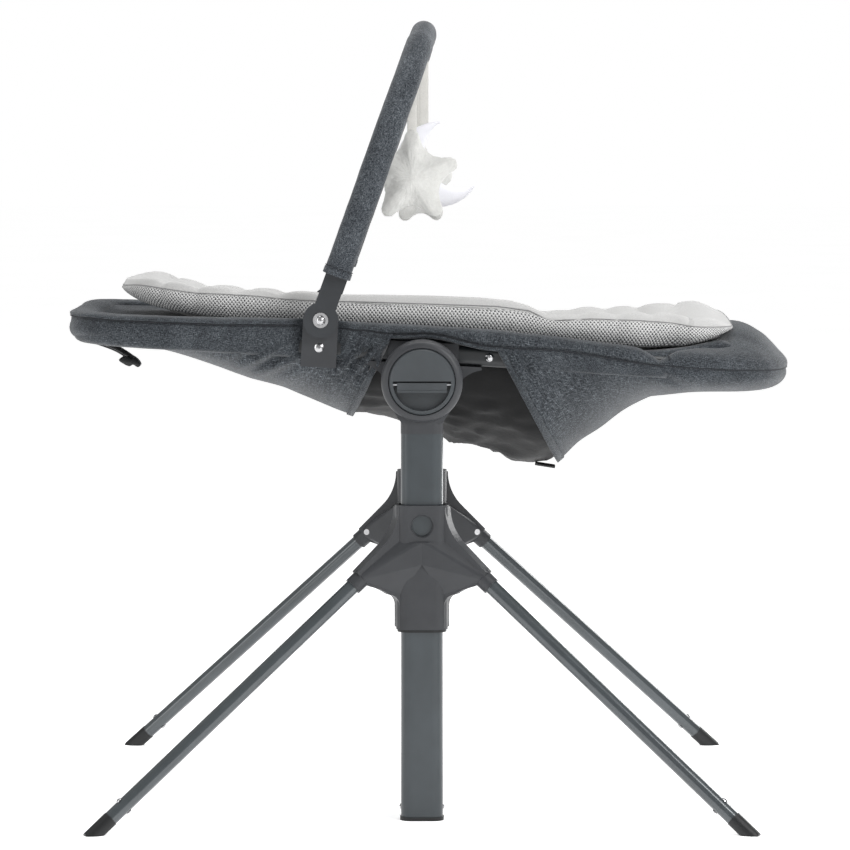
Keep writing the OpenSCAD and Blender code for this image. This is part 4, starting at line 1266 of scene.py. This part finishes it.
def hang(name, v, low, body):
    """A toy's ribbon, from its round top under the sleeve down to the toy."""
    top = on_bar(0, v, arch_height(v))
    start = ribbon_top(v)
    rows = []
    for z in [start + 5 - 5 * math.cos(a) for a in spread(0, math.pi / 2, 0.2)] + spread(start + 5.5, low, 4):
        half = math.sqrt(max(0.3, 25 - max(0, start + 5 - z) ** 2))
        sway = 0.35 * math.sin(z * 0.11)
        rows.append([top + Vector((x * half, y + sway, -z)) / 1000
                     for x,
                     y in ((-1, -0.2), (-0.8, -0.7), (0, -0.75), (0.8, -0.7), (1, -0.2), (1, 0.2), (0.8, 0.7),
                           (0, 0.75), (-0.8, 0.7), (-1, 0.2))])
    piece = outward(grid(name, rows, RIBBON, loop_cols=True, ends=True))
    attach(piece, body)


def star_reach(a, tip, hub_r, tip_r, count=5):
    """Distance from a star's middle to its edge at angle a: smoothly joined, tapering arms."""
    low, high = 5.0, tip + tip_r + 8

    def field(r):
        total = 0.0
        for k in range(count):
            b = math.pi / 2 + 2 * math.pi * k / count
            x = r * math.cos(a - b)
            y = abs(r * math.sin(a - b))
            t = clamp(x / tip)
            total += math.exp(-(math.hypot(x - t * tip, y) - lerp(hub_r, tip_r, t)) / 5.5)
        return -5.5 * math.log(total) + 2.5

    for _ in range(24):
        middle = (low + high) / 2
        low, high = (middle, high) if field(middle) < 0 else (low, middle)
    return low


def make_star(name, v, drop, tip, yaw, lean, body, node, seed):
    """A stuffed plush star."""
    centre = on_bar(0, v, arch_height(v)) - Vector((0, 0, drop / 1000))
    turn = Vector((math.cos(yaw), math.sin(yaw), 0)), Vector((-math.sin(yaw), math.cos(yaw), 0))
    around, levels = 150, [0, 0.12, 0.24, 0.36, 0.47, 0.57, 0.66, 0.74, 0.81, 0.87, 0.92, 0.96, 0.985, 1.0]
    rows = []
    for k in range(around):
        a = 2 * math.pi * k / around
        reach = star_reach(a + lean, tip, 22, 10.5)
        arm = 0.5 + 0.5 * math.cos(5 * (a + lean - math.pi / 2))
        row = []
        for face in (1, -1):
            for q in levels if face > 0 else levels[-2::-1]:
                r = q * reach
                thick = lerp(17, 10, clamp(r / (tip + 9))) * (1 - q**2.4) ** 0.55
                x, z = r * math.cos(a), r * math.sin(a)
                lump = 1.2 * ripple(x, z, face * 30, 22, seed) + 0.5 * ripple(x, z, face * 30, 7, seed + 1)
                y = face * (thick + (lump if q < 0.95 else 0))
                y -= face * 1.2 * math.exp(-(((q - 0.7) / 0.15) ** 2)) * (1 - arm) ** 3
                p = turn[0] * x + turn[1] * y + Vector((0, 0, z))
                row.append(centre + p / 1000)
        rows.append(row)
    star = merge(grid(name, rows, PLUSH, loop_rows=True), 0.00005)
    refine(star)
    displace(star,
             lambda p: 0.55 * ripple(p.x, p.y, p.z, 3.2, seed + 2)
             + 0.35 * ripple(p.x, p.y, p.z, 1.5, seed + 3))
    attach(star, body)
    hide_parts(node)


def make_moon():
    """A stuffed crescent: sections swept from tip to tip."""
    origin = on_bar(0, 0, arch_height(0)) + Vector((16, 0, -143.7)) / 1000
    outer, inner, gap, aim = 47.7, 41.0, 29.0, math.radians(28)
    meet = math.acos((outer**2 + gap**2 - inner**2) / (2 * outer * gap))
    rows = []
    sides = 24
    for t in spread(0.0, 1.0, 0.02):
        a = aim + lerp(meet, 2 * math.pi - meet, t)
        root = max(0.0, inner**2 - (gap * math.sin(a - aim)) ** 2)
        near = gap * math.cos(a - aim) + math.sqrt(root)
        near = min(outer - 1.0, max(near, -outer))
        half = (outer - near) / 2
        half = max(1.2, min(half, 21))
        middle = Vector((math.cos(a), 0, math.sin(a))) * (outer - half)
        deep = min(11.5, half * 1.05 + 1.5) * math.sin(math.pi * clamp(t * 0.96 + 0.02)) ** 0.35
        row = []
        for k in range(sides):
            q = 2 * math.pi * k / sides
            lump = 1 + 0.05 * ripple(middle.x, middle.z, k, 16, 61.0)
            radial = math.copysign(abs(math.cos(q)) ** 0.9, math.cos(q)) * half * lump
            row.append(origin
                       + (middle
                          + Vector((math.cos(a) * radial, math.sin(q) * deep * lump,
                                    math.sin(a) * radial))) / 1000)
        rows.append(row)
    moon = outward(grid("toy_moon_soft", rows, VELOUR, loop_cols=True, ends=True))
    refine(moon)
    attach(moon, "toy_moon")
    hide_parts("toy_moon")


make_sleeve()
hang("ribbon_right", -180, 78, "toy_star_right")
hang("ribbon_moon", 0, 104, "toy_moon")
hang("ribbon_left", 140, 122, "toy_star_left")
make_star("toy_star_right_soft", -180, 119, 43, 0.0, 0.0, "toy_star_right", "toy_star_right", 51.0)
make_star("toy_star_left_soft", 140, 161, 39, math.radians(38), 0.0, "toy_star_left", "toy_star_left", 55.0)
make_moon()
